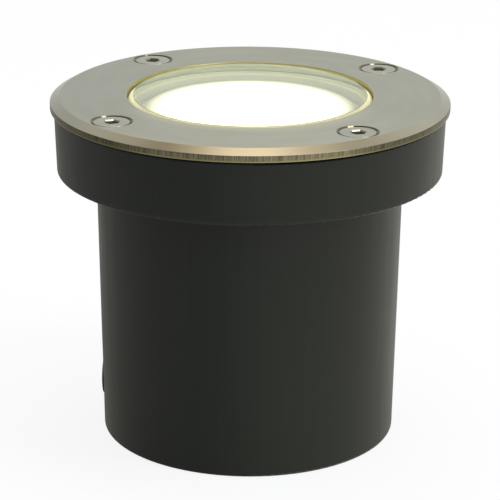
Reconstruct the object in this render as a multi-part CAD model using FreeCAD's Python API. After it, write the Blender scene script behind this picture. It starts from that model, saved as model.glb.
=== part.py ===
import FreeCAD, Part

import math
import os

# In-ground well light, in millimetres. The origin is the centre of the sleeve's base and +Z is up.
# A plastic installation sleeve stays in the ground. A die-cast luminaire drops into it, with its
# flange on the sleeve's shoulder and its can hanging in the pot. A stainless ring, held by four
# countersunk screws, clamps a stepped glass between two gaskets on the luminaire's seat. A flat disc
# lamp is held below the glass by a two-pin twist-lock holder.

# Lamp and its two-pin base. The radii of everything round them start from the base's boss
LAMP_BOSS_DIAMETER = 41.0
PIN_FROM_BOSS = 6.0
RIM_FROM_PIN = 11.0
LAMP_WALL = 1.6
LAMP_HEEL = 2.4
LAMP_FACE_TO_BACK = 18.6
LAMP_RIM_BELOW_FACE = 2.8
LAMP_BOSS_DEPTH = 8.4
LAMP_LEDGE_WIDTH = 2.0
BEZEL_WIDTH = 4.0
DIFFUSER_WALL = 1.5
DIFFUSER_SHOULDER = 3.2
DIFFUSER_CROWN = 0.6
DIFFUSER_FLANGE = 1.4
BEZEL_THICKNESS = 2.3
BEZEL_FALL = 0.6
LED_BOARD_THICKNESS = 1.4
LED_BOARD_BELOW_FACE = 8.4
LED_SIZE = 3.0
LED_HEIGHT = 0.8
LED_WIRE_HOLE = 3.0
# How far in from the board's edge each ring of chips lies, and its number of chips
LED_RINGS = ((24.9, 5), (14.9, 10), (5.9, 14))
DRIVER_BOARD_THICKNESS = 1.6
DRIVER_BOARD_LIFT = 2.0
CAPACITOR_DIAMETER = 8.0
CAPACITOR_HEIGHT = 7.0
CHOKE_DIAMETER = 10.0
CHOKE_HEIGHT = 5.0
REGULATOR_WIDTH = 6.0
REGULATOR_LENGTH = 9.0
REGULATOR_HEIGHT = 2.0
DRIVER_PART_FROM_EDGE = 10.3

# Twist-lock pins and their keyholes
PIN_NECK_DIAMETER = 3.4
PIN_HEAD_DIAMETER = 5.0
PIN_HEAD_THICKNESS = 1.8
PIN_SLOT_CLEARANCE = 0.3
TWIST_ANGLE = 20.0
LAMP_BACK_GAP = 0.3

# Lampholder
HOLDER_INSET = 1.5
HOLDER_HEIGHT = 11.8
HOLDER_TOP = 2.2
HOLDER_WALL = 1.6
HOLDER_RIB = 1.4
HOLDER_RIB_COUNT = 4
HOLDER_SCREW_FROM_PIN = 2.0
HOLDER_COVER = 1.2
CONTACT_STRIP = 0.6
CONTACT_WIDTH = 5.0
CONTACT_LENGTH = 9.0
CONTACT_FOOT = 5.0
SMALL_SCREW_DIAMETER = 3.0
SMALL_HEAD_DIAMETER = 5.6
SMALL_HEAD_HEIGHT = 2.0
SMALL_SLOT_WIDTH = 0.8
SMALL_SLOT_DEPTH = 1.0
SMALL_SCREW_REACH = 1.0
PLATE_SCREW_LENGTH = 10.0
PLATE_THICKNESS = 1.5
PLATE_MARGIN = 1.5
PLATE_WINDOW_DIAMETER = 20.0
PLATE_NOTCH_WIDTH = 18.0
PLATE_NOTCH_DEPTH = 5.5
POST_DIAMETER = 7.0
POST_FROM_GLAND = 6.0

# Luminaire housing
LAMP_SIDE_GAP = 2.5
CAN_WALL = 2.5
CAN_DEPTH = 56.2
GLASS_SEAT_WIDTH = 6.2
SEAT_THICKNESS = 2.7
RECESS_WALL = 1.5
DECK_THICKNESS = 3.5
SKIRT_WALL = 2.1
BOSS_DIAMETER = 9.6
BOSS_COVER = 0.2
BOSS_FOOT_GAP = 0.8
HOUSING_RIB = 2.0
HOUSING_RIB_DEPTH = 10.0
EARTH_BOSS_DIAMETER = 9.0
EARTH_BOSS_HEIGHT = 3.0
EARTH_FROM_WALL = 15.0

# Cover ring, screws and inserts
WINDOW_MARGIN = 1.0
RING_THICKNESS = 3.8
RING_BEVEL_WIDTH = 3.0
RING_BEVEL_DROP = 1.7
RING_EDGE_BREAK = 0.3
RING_OVERHANG = 1.2
SCREW_COUNT = 4
SCREW_FIRST_ANGLE = 37.9
SCREW_SHANK_DIAMETER = 5.9
SCREW_LENGTH = 18.0
SCREW_TIP_ABOVE_SHOULDER = 2.8
SCREW_TIP_BEVEL = 0.8
SCREW_HOLE_DIAMETER = 6.6
SCREW_HEAD_DIAMETER = 11.3
SCREW_HEAD_EDGE = 0.25
COUNTERSINK_DIAMETER = 12.6
HEX_ACROSS_FLATS = 4.0
HEX_DEPTH = 2.4
INSERT_DIAMETER = 8.0
INSERT_LENGTH = 10.0
INSERT_BELOW_DECK = 1.0
INSERT_WAIST_LENGTH = 2.0
INSERT_WAIST_DEPTH = 0.5
SCREW_FIT = 0.1
SEATING_GAP = 0.02
CONE_GAP = 0.05

# Glass and gaskets
UPPER_GASKET = 1.2
LOWER_GASKET = 1.5
GASKET_LIP = 0.8
GLASS_FLANGE = 3.3
GLASS_BELOW_RING_TOP = 0.3
GLASS_RING_GAP = 0.4
GLASS_RECESS_GAP = 0.5
GLASS_CHAMFER_WIDTH = 1.5
GLASS_CHAMFER_DROP = 1.3
GLASS_EDGE_BREAK = 0.4
LAMP_HEADROOM = 2.1

# Installation sleeve
SLEEVE_WALL = 2.5
HOUSING_COLLAR_GAP = 0.6
CAN_POT_GAP = 1.7
COLLAR_DRAFT = 0.7
POT_DEPTH = 86.3
POT_DRAFT = 1.66
RIM_GAP = 0.5
RIM_ROUND = 0.5
BASE_ROUND = 1.0
GUIDE_RIB = 1.6
GUIDE_RIB_GAP = 0.5
GUIDE_RIB_COUNT = 4
GUIDE_RIB_BELOW_SHOULDER = 9.6
DRAIN_DIAMETER = 20.0
WEEP_DIAMETER = 6.0
WEEP_CIRCLE = 62.0
WEEP_COUNT = 6

# Cable entry in the pot's wall, and its rubber grommet
ENTRY_ANGLE = 176.0
ENTRY_HEIGHT = 14.5
ENTRY_HOLE_DIAMETER = 10.4
ENTRY_SPOT_DEPTH = 0.8
ENTRY_PAD_THICKNESS = 2.9
ENTRY_PAD_MARGIN = 1.0
GROMMET_FLANGE_DIAMETER = 13.0
GROMMET_FLANGE = 0.9
GROMMET_BORE_DIAMETER = 8.4

# Supply gland, terminal block and earth screw
GLAND_THREAD_DIAMETER = 16.0
GLAND_HEX = 20.0
GLAND_HEX_HEIGHT = 6.0
GLAND_WASHER = 1.0
GLAND_INNER_REACH = 6.0
GLAND_NUT_HEIGHT = 4.0
GLAND_TAIL = 9.0
GLAND_BORE_DIAMETER = 12.0
GLAND_CAP_GAP = 1.0
GLAND_CAP_HEIGHT = 13.0
GLAND_CAP_SKIRT = 6.0
GLAND_SEAL_HEIGHT = 8.0
CABLE_BORE_DIAMETER = 8.0
THREAD_FIT = 0.05
TERMINAL_POLES = 3
TERMINAL_PITCH = 9.0
TERMINAL_DEPTH = 16.0
TERMINAL_HEIGHT = 14.0
TERMINAL_TUNNEL = 4.4
TERMINAL_SCREW = 4.0
TERMINAL_CLEAR = 3.0
BARRIER = 1.4
BARRIER_DEPTH = 3.0

# Radii, worked out from the lamp outwards
PIN_R = LAMP_BOSS_DIAMETER / 2 + PIN_FROM_BOSS
LAMP_R = PIN_R + RIM_FROM_PIN
DIFFUSER_R = LAMP_R - BEZEL_WIDTH
CUP_INNER_R = LAMP_R - LAMP_WALL
LED_BOARD_R = CUP_INNER_R - LAMP_LEDGE_WIDTH
DRIVER_BOARD_R = LAMP_BOSS_DIAMETER / 2 - LAMP_WALL
WINDOW_R = LAMP_R + WINDOW_MARGIN
CAN_INNER_R = LAMP_R + LAMP_SIDE_GAP
CAN_OUTER_R = CAN_INNER_R + CAN_WALL
RECESS_R = CAN_INNER_R + GLASS_SEAT_WIDTH
SCREW_CIRCLE_R = RECESS_R + RECESS_WALL + BOSS_DIAMETER / 2
HOUSING_R = SCREW_CIRCLE_R + BOSS_DIAMETER / 2 + BOSS_COVER
COLLAR_LOW_INNER_R = HOUSING_R + HOUSING_COLLAR_GAP
COLLAR_LOW_R = COLLAR_LOW_INNER_R + SLEEVE_WALL
COLLAR_TOP_R = COLLAR_LOW_R + COLLAR_DRAFT
RING_R = COLLAR_TOP_R + RING_OVERHANG
POT_BASE_INNER_R = CAN_OUTER_R + CAN_POT_GAP
POT_BASE_R = POT_BASE_INNER_R + SLEEVE_WALL
POT_TOP_R = POT_BASE_R + POT_DRAFT
GLASS_BOSS_R = WINDOW_R - GLASS_RING_GAP
GLASS_R = RECESS_R - GLASS_RECESS_GAP
HOLDER_R = LAMP_R - HOLDER_INSET
HOLDER_BORE_R = LAMP_BOSS_DIAMETER / 2 + HOLDER_WALL / 2
HOLDER_SCREW_R = PIN_R + HOLDER_SCREW_FROM_PIN
POST_R = GLAND_HEX / 2 + POST_FROM_GLAND
EARTH_R = CAN_INNER_R - EARTH_FROM_WALL
GLAND_THREAD_R = GLAND_THREAD_DIAMETER / 2

# Heights, worked out from the sleeve's base upwards and from the ring downwards
# The collar is as deep as the cover screws need. A countersink's cone has a right angle, so its
# radius grows as much as its height, and the screw's head sinks by half what it is narrower.
SHOULDER_Z = POT_DEPTH + SLEEVE_WALL
SCREW_TIP_Z = SHOULDER_Z + SCREW_TIP_ABOVE_SHOULDER
SCREW_TOP_Z = SCREW_TIP_Z + SCREW_LENGTH
SCREW_CONE_TOP_Z = SCREW_TOP_Z - SCREW_HEAD_EDGE
RING_TOP_Z = SCREW_CONE_TOP_Z + (COUNTERSINK_DIAMETER - SCREW_HEAD_DIAMETER) / 2
COUNTERSINK_FOOT_Z = RING_TOP_Z - (COUNTERSINK_DIAMETER - SCREW_HOLE_DIAMETER) / 2
DECK_Z = RING_TOP_Z - RING_THICKNESS
COLLAR_TOP_Z = DECK_Z - RIM_GAP
GLASS_SHOULDER_Z = DECK_Z - UPPER_GASKET
GLASS_BOTTOM_Z = GLASS_SHOULDER_Z - GLASS_FLANGE
GLASS_TOP_Z = RING_TOP_Z - GLASS_BELOW_RING_TOP
SEAT_Z = GLASS_BOTTOM_Z - LOWER_GASKET
CAN_BOTTOM_Z = SEAT_Z - CAN_DEPTH
CAN_FLOOR_Z = CAN_BOTTOM_Z + CAN_WALL
LAMP_FACE_Z = GLASS_BOTTOM_Z - LAMP_HEADROOM
LAMP_BACK_Z = LAMP_FACE_Z - LAMP_FACE_TO_BACK
LAMP_CUP_TOP_Z = LAMP_FACE_Z - LAMP_RIM_BELOW_FACE - BEZEL_THICKNESS
HOLDER_TOP_Z = LAMP_BACK_Z - LAMP_BACK_GAP
HOLDER_FOOT_Z = HOLDER_TOP_Z - HOLDER_HEIGHT
PLATE_TOP_Z = HOLDER_FOOT_Z - HOLDER_COVER
PLATE_UNDER_Z = PLATE_TOP_Z - PLATE_THICKNESS
PLATE_SCREW_TIP_Z = PLATE_TOP_Z - PLATE_SCREW_LENGTH
SMALL_HEAD_SEAT_Z = HOLDER_TOP_Z - SMALL_HEAD_HEIGHT - PIN_SLOT_CLEARANCE
PIN_HEAD_TOP_Z = HOLDER_TOP_Z - HOLDER_TOP - PIN_SLOT_CLEARANCE
PIN_HEAD_LOW_Z = PIN_HEAD_TOP_Z - PIN_HEAD_THICKNESS
DIFFUSER_SEAT_Z = LAMP_CUP_TOP_Z - DIFFUSER_FLANGE
LED_BOARD_Z = LAMP_FACE_Z - LED_BOARD_BELOW_FACE
LAMP_END_Z = LAMP_BACK_Z - LAMP_BOSS_DEPTH
DRIVER_BOARD_Z = LAMP_END_Z + LAMP_WALL + DRIVER_BOARD_LIFT
GLAND_FLANGE_TOP_Z = CAN_BOTTOM_Z - GLAND_WASHER
GLAND_FLANGE_LOW_Z = GLAND_FLANGE_TOP_Z - GLAND_HEX_HEIGHT
GLAND_TAIL_Z = GLAND_FLANGE_LOW_Z - GLAND_TAIL
GLAND_CAP_TOP_Z = GLAND_FLANGE_LOW_Z - GLAND_CAP_GAP
GLAND_CAP_LOW_Z = GLAND_CAP_TOP_Z - GLAND_CAP_HEIGHT
GLAND_CAP_FLOOR_Z = GLAND_TAIL_Z - GLAND_WASHER

# The cable entry's outer and inner flats, as distances from the sleeve's axis
ENTRY_FLAT = POT_BASE_R + POT_DRAFT * ENTRY_HEIGHT / POT_DEPTH - ENTRY_SPOT_DEPTH
ENTRY_INNER_FLAT = ENTRY_FLAT - ENTRY_PAD_THICKNESS

# The terminal block stands beside the gland, with its poles in a row along X
TERMINAL_WIDTH = TERMINAL_POLES * TERMINAL_PITCH
TERMINAL_Y = GLAND_HEX / 2 + POST_DIAMETER / 2 + TERMINAL_CLEAR + TERMINAL_DEPTH / 2
TERMINAL_TOP_Z = CAN_FLOOR_Z + TERMINAL_HEIGHT
TERMINAL_SEAT_Z = TERMINAL_TOP_Z - BARRIER_DEPTH
TUNNEL_Z = (CAN_FLOOR_Z + TERMINAL_SEAT_Z) / 2
POLE_OFFSETS = [TERMINAL_PITCH * (i - (TERMINAL_POLES - 1) / 2) for i in range(TERMINAL_POLES)]
CLAMP_OFFSETS = (-TERMINAL_DEPTH / 4, TERMINAL_DEPTH / 4)

SCREW_ANGLES = [SCREW_FIRST_ANGLE + 360.0 / SCREW_COUNT * i for i in range(SCREW_COUNT)]
PIN_ANGLES = (0.0, 180.0)
HOLDER_SCREW_ANGLES = (90.0, 270.0)
POST_ANGLES = (0.0, 180.0)

Vector = FreeCAD.Vector
ORIGIN = Vector(0, 0, 0)
UP = Vector(0, 0, 1)
PARTS_FOLDER = "parts"


def outline(corners, rounded):
    """A closed outline in the XZ plane. A corner is (r, z), or (r, z, size) where it is softened.

    The size is the corner's radius, or how far a straight bevel reaches along both sides.
    """
    points = [Vector(corner[0], 0, corner[1]) for corner in corners]
    sizes = [corner[2] if len(corner) > 2 else 0.0 for corner in corners]
    trimmed = []
    for i, here in enumerate(points):
        before = (points[i - 1] - here).normalize()
        after = (points[(i + 1) % len(points)] - here).normalize()
        half = before.getAngle(after) / 2
        trim = sizes[i] / math.tan(half) if rounded else sizes[i]
        middle = here + (before + after).normalize() * (sizes[i] / math.sin(half) - sizes[i])
        trimmed.append((here + before * trim, middle, here + after * trim))
    edges = []
    for i, (start, middle, end) in enumerate(trimmed):
        edges.append(Part.LineSegment(trimmed[i - 1][2], start).toShape())
        if sizes[i] and rounded:
            edges.append(Part.Arc(start, middle, end).toShape())
        elif sizes[i]:
            edges.append(Part.LineSegment(start, end).toShape())
    return Part.Wire(edges)


def revolved(corners, rounded=False):
    """A solid of revolution whose sized corners are bevelled, or rounded."""
    return Part.Face(outline(corners, rounded)).revolve(ORIGIN, UP, 360)


def at_angle(radius, degrees, z=0.0):
    angle = math.radians(degrees)
    return Vector(radius * math.cos(angle), radius * math.sin(angle), z)


def turned(shape, degrees):
    return shape.rotated(ORIGIN, UP, degrees)


def around(shape, angles):
    return [turned(shape, angle) for angle in angles]


def even_angles(count, first=0.0):
    return [first + 360.0 / count * i for i in range(count)]


def rod(radius, low, high, place=ORIGIN):
    return Part.makeCylinder(radius, high - low, Vector(place.x, place.y, low))


def tube(outer, inner, low, high, place=ORIGIN):
    return rod(outer, low, high, place).cut(rod(inner, low, high, place))


def block(size_x, size_y, low, high, place=ORIGIN):
    corner = Vector(place.x - size_x / 2, place.y - size_y / 2, low)
    return Part.makeBox(size_x, size_y, high - low, corner)


def hex_prism(across_flats, low, high, place=ORIGIN):
    corner_radius = across_flats / math.sqrt(3)
    points = [place + at_angle(corner_radius, angle) for angle in even_angles(6)]
    points = [Vector(point.x, point.y, low) for point in points]
    return Part.Face(Part.makePolygon(points + points[:1])).extrude(UP * (high - low))


def web(inner, outer, thickness, low, high):
    """A flat upright rib along +X, from one radius to another."""
    return Part.makeBox(outer - inner, thickness, high - low, Vector(inner, -thickness / 2, low))


def fused(first, others):
    return first.multiFuse(others).removeSplitter()


def pot_inner_radius(z):
    return POT_BASE_INNER_R + POT_DRAFT * z / POT_DEPTH


def along_entry(shape):
    """Moves a shape built on +Z at the origin so that its axis is the cable entry's, pointing out."""
    upright = shape.rotated(ORIGIN, Vector(0, 1, 0), 90)
    return turned(upright, ENTRY_ANGLE).translated(Vector(0, 0, ENTRY_HEIGHT))


def guide_rib():
    """An upright rib whose back runs along the middle of the tapered pot wall."""
    low = SLEEVE_WALL / 2
    high = SHOULDER_Z - GUIDE_RIB_BELOW_SHOULDER
    tip = CAN_OUTER_R + GUIDE_RIB_GAP
    side = [
        Vector(tip, 0, low),
        Vector(pot_inner_radius(low) + SLEEVE_WALL / 2, 0, low),
        Vector(pot_inner_radius(high) + SLEEVE_WALL / 2, 0, high),
        Vector(tip, 0, high),
    ]
    plate = Part.Face(Part.makePolygon(side + side[:1])).extrude(Vector(0, GUIDE_RIB, 0))
    return plate.translated(Vector(0, -GUIDE_RIB / 2, 0))


def installation_sleeve():
    shell = revolved([
        (0, 0),
        (POT_BASE_R, 0, BASE_ROUND),
        (POT_TOP_R, POT_DEPTH),
        (COLLAR_LOW_R, POT_DEPTH, RIM_ROUND),
        (COLLAR_TOP_R, COLLAR_TOP_Z, RIM_ROUND),
        (COLLAR_TOP_R - SLEEVE_WALL, COLLAR_TOP_Z),
        (COLLAR_LOW_INNER_R, SHOULDER_Z),
        (pot_inner_radius(SHOULDER_Z), SHOULDER_Z),
        (pot_inner_radius(SLEEVE_WALL), SLEEVE_WALL),
        (0, SLEEVE_WALL),
    ], rounded=True)
    guides = around(guide_rib(), even_angles(GUIDE_RIB_COUNT, 45.0))
    pad_radius = GROMMET_FLANGE_DIAMETER / 2 + ENTRY_PAD_MARGIN
    pad = along_entry(rod(pad_radius, ENTRY_INNER_FLAT, ENTRY_FLAT - SLEEVE_WALL / 2))
    body = fused(shell, guides + [pad])
    spot = rod(GROMMET_FLANGE_DIAMETER / 2 + SEATING_GAP, ENTRY_FLAT, POT_TOP_R)
    hole = rod(ENTRY_HOLE_DIAMETER / 2, ENTRY_INNER_FLAT, POT_TOP_R)
    drain = rod(DRAIN_DIAMETER / 2, 0, SLEEVE_WALL)
    weep = rod(WEEP_DIAMETER / 2, 0, SLEEVE_WALL, at_angle(WEEP_CIRCLE / 2, 0))
    weeps = around(weep, even_angles(WEEP_COUNT))
    cuts = [along_entry(spot), along_entry(hole), drain] + weeps
    return body.cut(cuts)


def cable_grommet():
    flange = GROMMET_FLANGE_DIAMETER / 2
    neck = ENTRY_HOLE_DIAMETER / 2 - SEATING_GAP
    bore = GROMMET_BORE_DIAMETER / 2
    bush = revolved([
        (bore, ENTRY_INNER_FLAT - GROMMET_FLANGE),
        (flange, ENTRY_INNER_FLAT - GROMMET_FLANGE, RING_EDGE_BREAK),
        (flange, ENTRY_INNER_FLAT),
        (neck, ENTRY_INNER_FLAT),
        (neck, ENTRY_FLAT),
        (flange, ENTRY_FLAT),
        (flange, ENTRY_FLAT + GROMMET_FLANGE, RING_EDGE_BREAK),
        (bore, ENTRY_FLAT + GROMMET_FLANGE),
    ])
    return along_entry(bush)


def post_place(angle):
    return at_angle(POST_R, angle)


def luminaire_housing():
    deck_under = DECK_Z - DECK_THICKNESS
    seat_under = SEAT_Z - SEAT_THICKNESS
    recess_outer = RECESS_R + RECESS_WALL
    skirt_inner = HOUSING_R - SKIRT_WALL
    shell = revolved([
        (0, CAN_BOTTOM_Z),
        (CAN_OUTER_R, CAN_BOTTOM_Z, CAN_WALL / 2),
        (CAN_OUTER_R, seat_under),
        (recess_outer, seat_under, RECESS_WALL / 2),
        (recess_outer, deck_under),
        (skirt_inner, deck_under),
        (skirt_inner, SHOULDER_Z),
        (HOUSING_R, SHOULDER_Z),
        (HOUSING_R, DECK_Z, RIM_ROUND),
        (RECESS_R, DECK_Z),
        (RECESS_R, SEAT_Z),
        (CAN_INNER_R, SEAT_Z),
        (CAN_INNER_R, CAN_FLOOR_Z),
        (0, CAN_FLOOR_Z),
    ])
    boss = rod(BOSS_DIAMETER / 2, SHOULDER_Z + BOSS_FOOT_GAP, DECK_Z, at_angle(SCREW_CIRCLE_R, 0))
    bosses = around(boss, SCREW_ANGLES)
    rib_low = DECK_Z - DECK_THICKNESS - HOUSING_RIB_DEPTH
    rib = web(CAN_OUTER_R - CAN_WALL / 2, HOUSING_R - SKIRT_WALL / 2, HOUSING_RIB, rib_low, seat_under)
    rib_top = web(recess_outer - RECESS_WALL / 2, HOUSING_R - SKIRT_WALL / 2, HOUSING_RIB,
                  seat_under, deck_under)
    spacing = 360.0 / SCREW_COUNT
    rib_angles = [angle + spacing * share / 3 for angle in SCREW_ANGLES for share in (1, 2)]
    ribs = around(rib, rib_angles) + around(rib_top, rib_angles)
    posts = [rod(POST_DIAMETER / 2, CAN_FLOOR_Z, PLATE_UNDER_Z, post_place(angle))
             for angle in POST_ANGLES]
    earth_place = Vector(0, -EARTH_R, 0)
    earth_boss = rod(EARTH_BOSS_DIAMETER / 2, CAN_FLOOR_Z, CAN_FLOOR_Z + EARTH_BOSS_HEIGHT, earth_place)
    body = fused(shell, bosses + ribs + posts + [earth_boss])
    pocket_low = DECK_Z - INSERT_BELOW_DECK - INSERT_LENGTH
    pocket = rod(INSERT_DIAMETER / 2 + SEATING_GAP, pocket_low, DECK_Z, at_angle(SCREW_CIRCLE_R, 0))
    pilot = rod(SCREW_HOLE_DIAMETER / 2, SCREW_TIP_Z - BOSS_FOOT_GAP, DECK_Z, at_angle(SCREW_CIRCLE_R, 0))
    screw_wells = around(pocket, SCREW_ANGLES) + around(pilot, SCREW_ANGLES)
    small_hole = SMALL_SCREW_DIAMETER / 2 + SEATING_GAP
    post_wells = [rod(small_hole, PLATE_SCREW_TIP_Z - SMALL_SCREW_REACH, PLATE_UNDER_Z, post_place(angle))
                  for angle in POST_ANGLES]
    earth_well = rod(small_hole, CAN_FLOOR_Z, CAN_FLOOR_Z + EARTH_BOSS_HEIGHT, earth_place)
    gland_hole = rod(GLAND_THREAD_DIAMETER / 2 + THREAD_FIT, CAN_BOTTOM_Z, CAN_FLOOR_Z)
    return body.cut(screw_wells + post_wells + [earth_well, gland_hole])


def cover_ring():
    bevel_z = RING_TOP_Z - RING_BEVEL_DROP
    plate = revolved([
        (WINDOW_R, DECK_Z),
        (RING_R - RING_EDGE_BREAK, DECK_Z),
        (RING_R, DECK_Z + RING_EDGE_BREAK),
        (RING_R, bevel_z, RING_EDGE_BREAK),
        (RING_R - RING_BEVEL_WIDTH, RING_TOP_Z, RING_EDGE_BREAK),
        (WINDOW_R + RING_EDGE_BREAK, RING_TOP_Z),
        (WINDOW_R, RING_TOP_Z - RING_EDGE_BREAK),
    ], rounded=True)
    place = at_angle(SCREW_CIRCLE_R, 0)
    hole = rod(SCREW_HOLE_DIAMETER / 2, DECK_Z, RING_TOP_Z, place)
    sink = Part.makeCone(SCREW_HOLE_DIAMETER / 2, COUNTERSINK_DIAMETER / 2,
                         RING_TOP_Z - COUNTERSINK_FOOT_Z, place + UP * COUNTERSINK_FOOT_Z)
    return plate.cut(around(hole, SCREW_ANGLES) + around(sink, SCREW_ANGLES))


def cover_screws():
    head = SCREW_HEAD_DIAMETER / 2 - CONE_GAP
    shank = SCREW_SHANK_DIAMETER / 2
    cone_foot_z = SCREW_CONE_TOP_Z - (head - shank)
    blank = revolved([
        (0, SCREW_TIP_Z),
        (shank - SCREW_TIP_BEVEL, SCREW_TIP_Z),
        (shank, SCREW_TIP_Z + SCREW_TIP_BEVEL),
        (shank, cone_foot_z),
        (head, SCREW_CONE_TOP_Z),
        (head, SCREW_TOP_Z, SCREW_HEAD_EDGE / 2),
        (0, SCREW_TOP_Z),
    ])
    socket_floor = SCREW_TOP_Z - HEX_DEPTH
    socket = hex_prism(HEX_ACROSS_FLATS, socket_floor, SCREW_TOP_Z)
    drill = Part.makeCone(0, HEX_ACROSS_FLATS / 2, HEX_ACROSS_FLATS / 4,
                          Vector(0, 0, socket_floor - HEX_ACROSS_FLATS / 4))
    entry_width = HEX_ACROSS_FLATS / math.sqrt(3) + SCREW_HEAD_EDGE / 2
    entry = Part.makeCone(HEX_ACROSS_FLATS / 2, entry_width, entry_width - HEX_ACROSS_FLATS / 2,
                          Vector(0, 0, SCREW_TOP_Z - entry_width + HEX_ACROSS_FLATS / 2))
    screw = blank.cut([socket, drill, entry]).translated(at_angle(SCREW_CIRCLE_R, 0))
    return Part.makeCompound(around(screw, SCREW_ANGLES))


def threaded_inserts():
    top = DECK_Z - INSERT_BELOW_DECK
    outer = INSERT_DIAMETER / 2
    bore = SCREW_SHANK_DIAMETER / 2 + SCREW_FIT
    waist = outer - INSERT_WAIST_DEPTH
    waist_high = top - (INSERT_LENGTH - INSERT_WAIST_LENGTH) / 2
    waist_low = waist_high - INSERT_WAIST_LENGTH
    bush = revolved([
        (bore, top - INSERT_LENGTH),
        (outer, top - INSERT_LENGTH),
        (outer, waist_low),
        (waist, waist_low + INSERT_WAIST_DEPTH),
        (waist, waist_high - INSERT_WAIST_DEPTH),
        (outer, waist_high),
        (outer, top),
        (bore, top),
    ])
    return Part.makeCompound(around(bush.translated(at_angle(SCREW_CIRCLE_R, 0)), SCREW_ANGLES))


def lens_glass():
    return revolved([
        (0, GLASS_BOTTOM_Z),
        (GLASS_R - GLASS_EDGE_BREAK, GLASS_BOTTOM_Z),
        (GLASS_R, GLASS_BOTTOM_Z + GLASS_EDGE_BREAK),
        (GLASS_R, GLASS_SHOULDER_Z - GLASS_EDGE_BREAK),
        (GLASS_R - GLASS_EDGE_BREAK, GLASS_SHOULDER_Z),
        (GLASS_BOSS_R, GLASS_SHOULDER_Z),
        (GLASS_BOSS_R, GLASS_TOP_Z - GLASS_CHAMFER_DROP),
        (GLASS_BOSS_R - GLASS_CHAMFER_WIDTH, GLASS_TOP_Z),
        (0, GLASS_TOP_Z),
    ])


def upper_gasket():
    return tube(GLASS_R, WINDOW_R + GASKET_LIP, GLASS_SHOULDER_Z, DECK_Z)


def lower_gasket():
    return tube(GLASS_R, CAN_INNER_R + GASKET_LIP, SEAT_Z, GLASS_BOTTOM_Z)


def lamp_body():
    boss_radius = LAMP_BOSS_DIAMETER / 2
    return revolved([
        (0, LAMP_END_Z),
        (boss_radius, LAMP_END_Z, LAMP_WALL / 2),
        (boss_radius, LAMP_BACK_Z),
        (LAMP_R - LAMP_HEEL, LAMP_BACK_Z),
        (LAMP_R, LAMP_BACK_Z + LAMP_HEEL),
        (LAMP_R, LAMP_CUP_TOP_Z),
        (CUP_INNER_R, LAMP_CUP_TOP_Z),
        (CUP_INNER_R, DIFFUSER_SEAT_Z),
        (LED_BOARD_R, DIFFUSER_SEAT_Z),
        (LED_BOARD_R, LED_BOARD_Z),
        (LED_BOARD_R - LAMP_LEDGE_WIDTH, LED_BOARD_Z),
        (LED_BOARD_R - LAMP_LEDGE_WIDTH, LAMP_BACK_Z + LAMP_WALL),
        (DRIVER_BOARD_R, LAMP_BACK_Z + LAMP_WALL),
        (DRIVER_BOARD_R, DRIVER_BOARD_Z),
        (DRIVER_BOARD_R - LAMP_LEDGE_WIDTH, DRIVER_BOARD_Z),
        (DRIVER_BOARD_R - LAMP_LEDGE_WIDTH, LAMP_END_Z + LAMP_WALL),
        (0, LAMP_END_Z + LAMP_WALL),
    ])


def lamp_bezel():
    inner = DIFFUSER_R + SEATING_GAP
    top = LAMP_CUP_TOP_Z + BEZEL_THICKNESS
    return revolved([
        (inner, LAMP_CUP_TOP_Z),
        (LAMP_R, LAMP_CUP_TOP_Z),
        (LAMP_R, top - BEZEL_FALL, BEZEL_FALL),
        (inner, top),
    ])


def crown_arc(radius, edge_z, crown):
    """The low dome over a diffuser: an arc from the axis, crown above edge_z, out to the radius."""
    ball = (radius * radius + crown * crown) / (2 * crown)
    half = math.asin(radius / ball) / 2
    middle = Vector(ball * math.sin(half), 0, edge_z + crown - ball * (1 - math.cos(half)))
    return Part.Arc(Vector(0, 0, edge_z + crown), middle, Vector(radius, 0, edge_z)).toShape()


def shoulder_arc(outer, edge_z, radius):
    """A quarter turn from the crown's edge, at edge_z, out to the upright wall at the outer radius."""
    turn = radius * (1 - math.sqrt(0.5))
    return Part.Arc(Vector(outer - radius, 0, edge_z), Vector(outer - turn, 0, edge_z - turn),
                    Vector(outer, 0, edge_z - radius)).toShape()


def lamp_diffuser():
    edge_z = LAMP_FACE_Z - DIFFUSER_CROWN
    flange_r = CUP_INNER_R - SEATING_GAP
    inner_r = DIFFUSER_R - DIFFUSER_WALL
    ceiling = edge_z - DIFFUSER_WALL
    corner = DIFFUSER_SHOULDER - DIFFUSER_WALL
    section = [
        Vector(DIFFUSER_R, 0, edge_z - DIFFUSER_SHOULDER),
        Vector(DIFFUSER_R, 0, LAMP_CUP_TOP_Z),
        Vector(flange_r, 0, LAMP_CUP_TOP_Z),
        Vector(flange_r, 0, DIFFUSER_SEAT_Z),
        Vector(inner_r, 0, DIFFUSER_SEAT_Z),
        Vector(inner_r, 0, ceiling - corner),
        Vector(inner_r - corner, 0, ceiling),
        Vector(0, 0, ceiling),
        Vector(0, 0, LAMP_FACE_Z),
    ]
    edges = [Part.LineSegment(start, end).toShape() for start, end in zip(section, section[1:])]
    edges.append(crown_arc(DIFFUSER_R - DIFFUSER_SHOULDER, edge_z, DIFFUSER_CROWN))
    edges.append(shoulder_arc(DIFFUSER_R, edge_z, DIFFUSER_SHOULDER))
    return Part.Face(Part.Wire(edges)).revolve(ORIGIN, UP, 360)


def led_board():
    disc = rod(LED_BOARD_R - SEATING_GAP, LED_BOARD_Z, LED_BOARD_Z + LED_BOARD_THICKNESS)
    wire_hole = rod(LED_WIRE_HOLE / 2, LED_BOARD_Z, LED_BOARD_Z + LED_BOARD_THICKNESS)
    return disc.cut(wire_hole)


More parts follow.
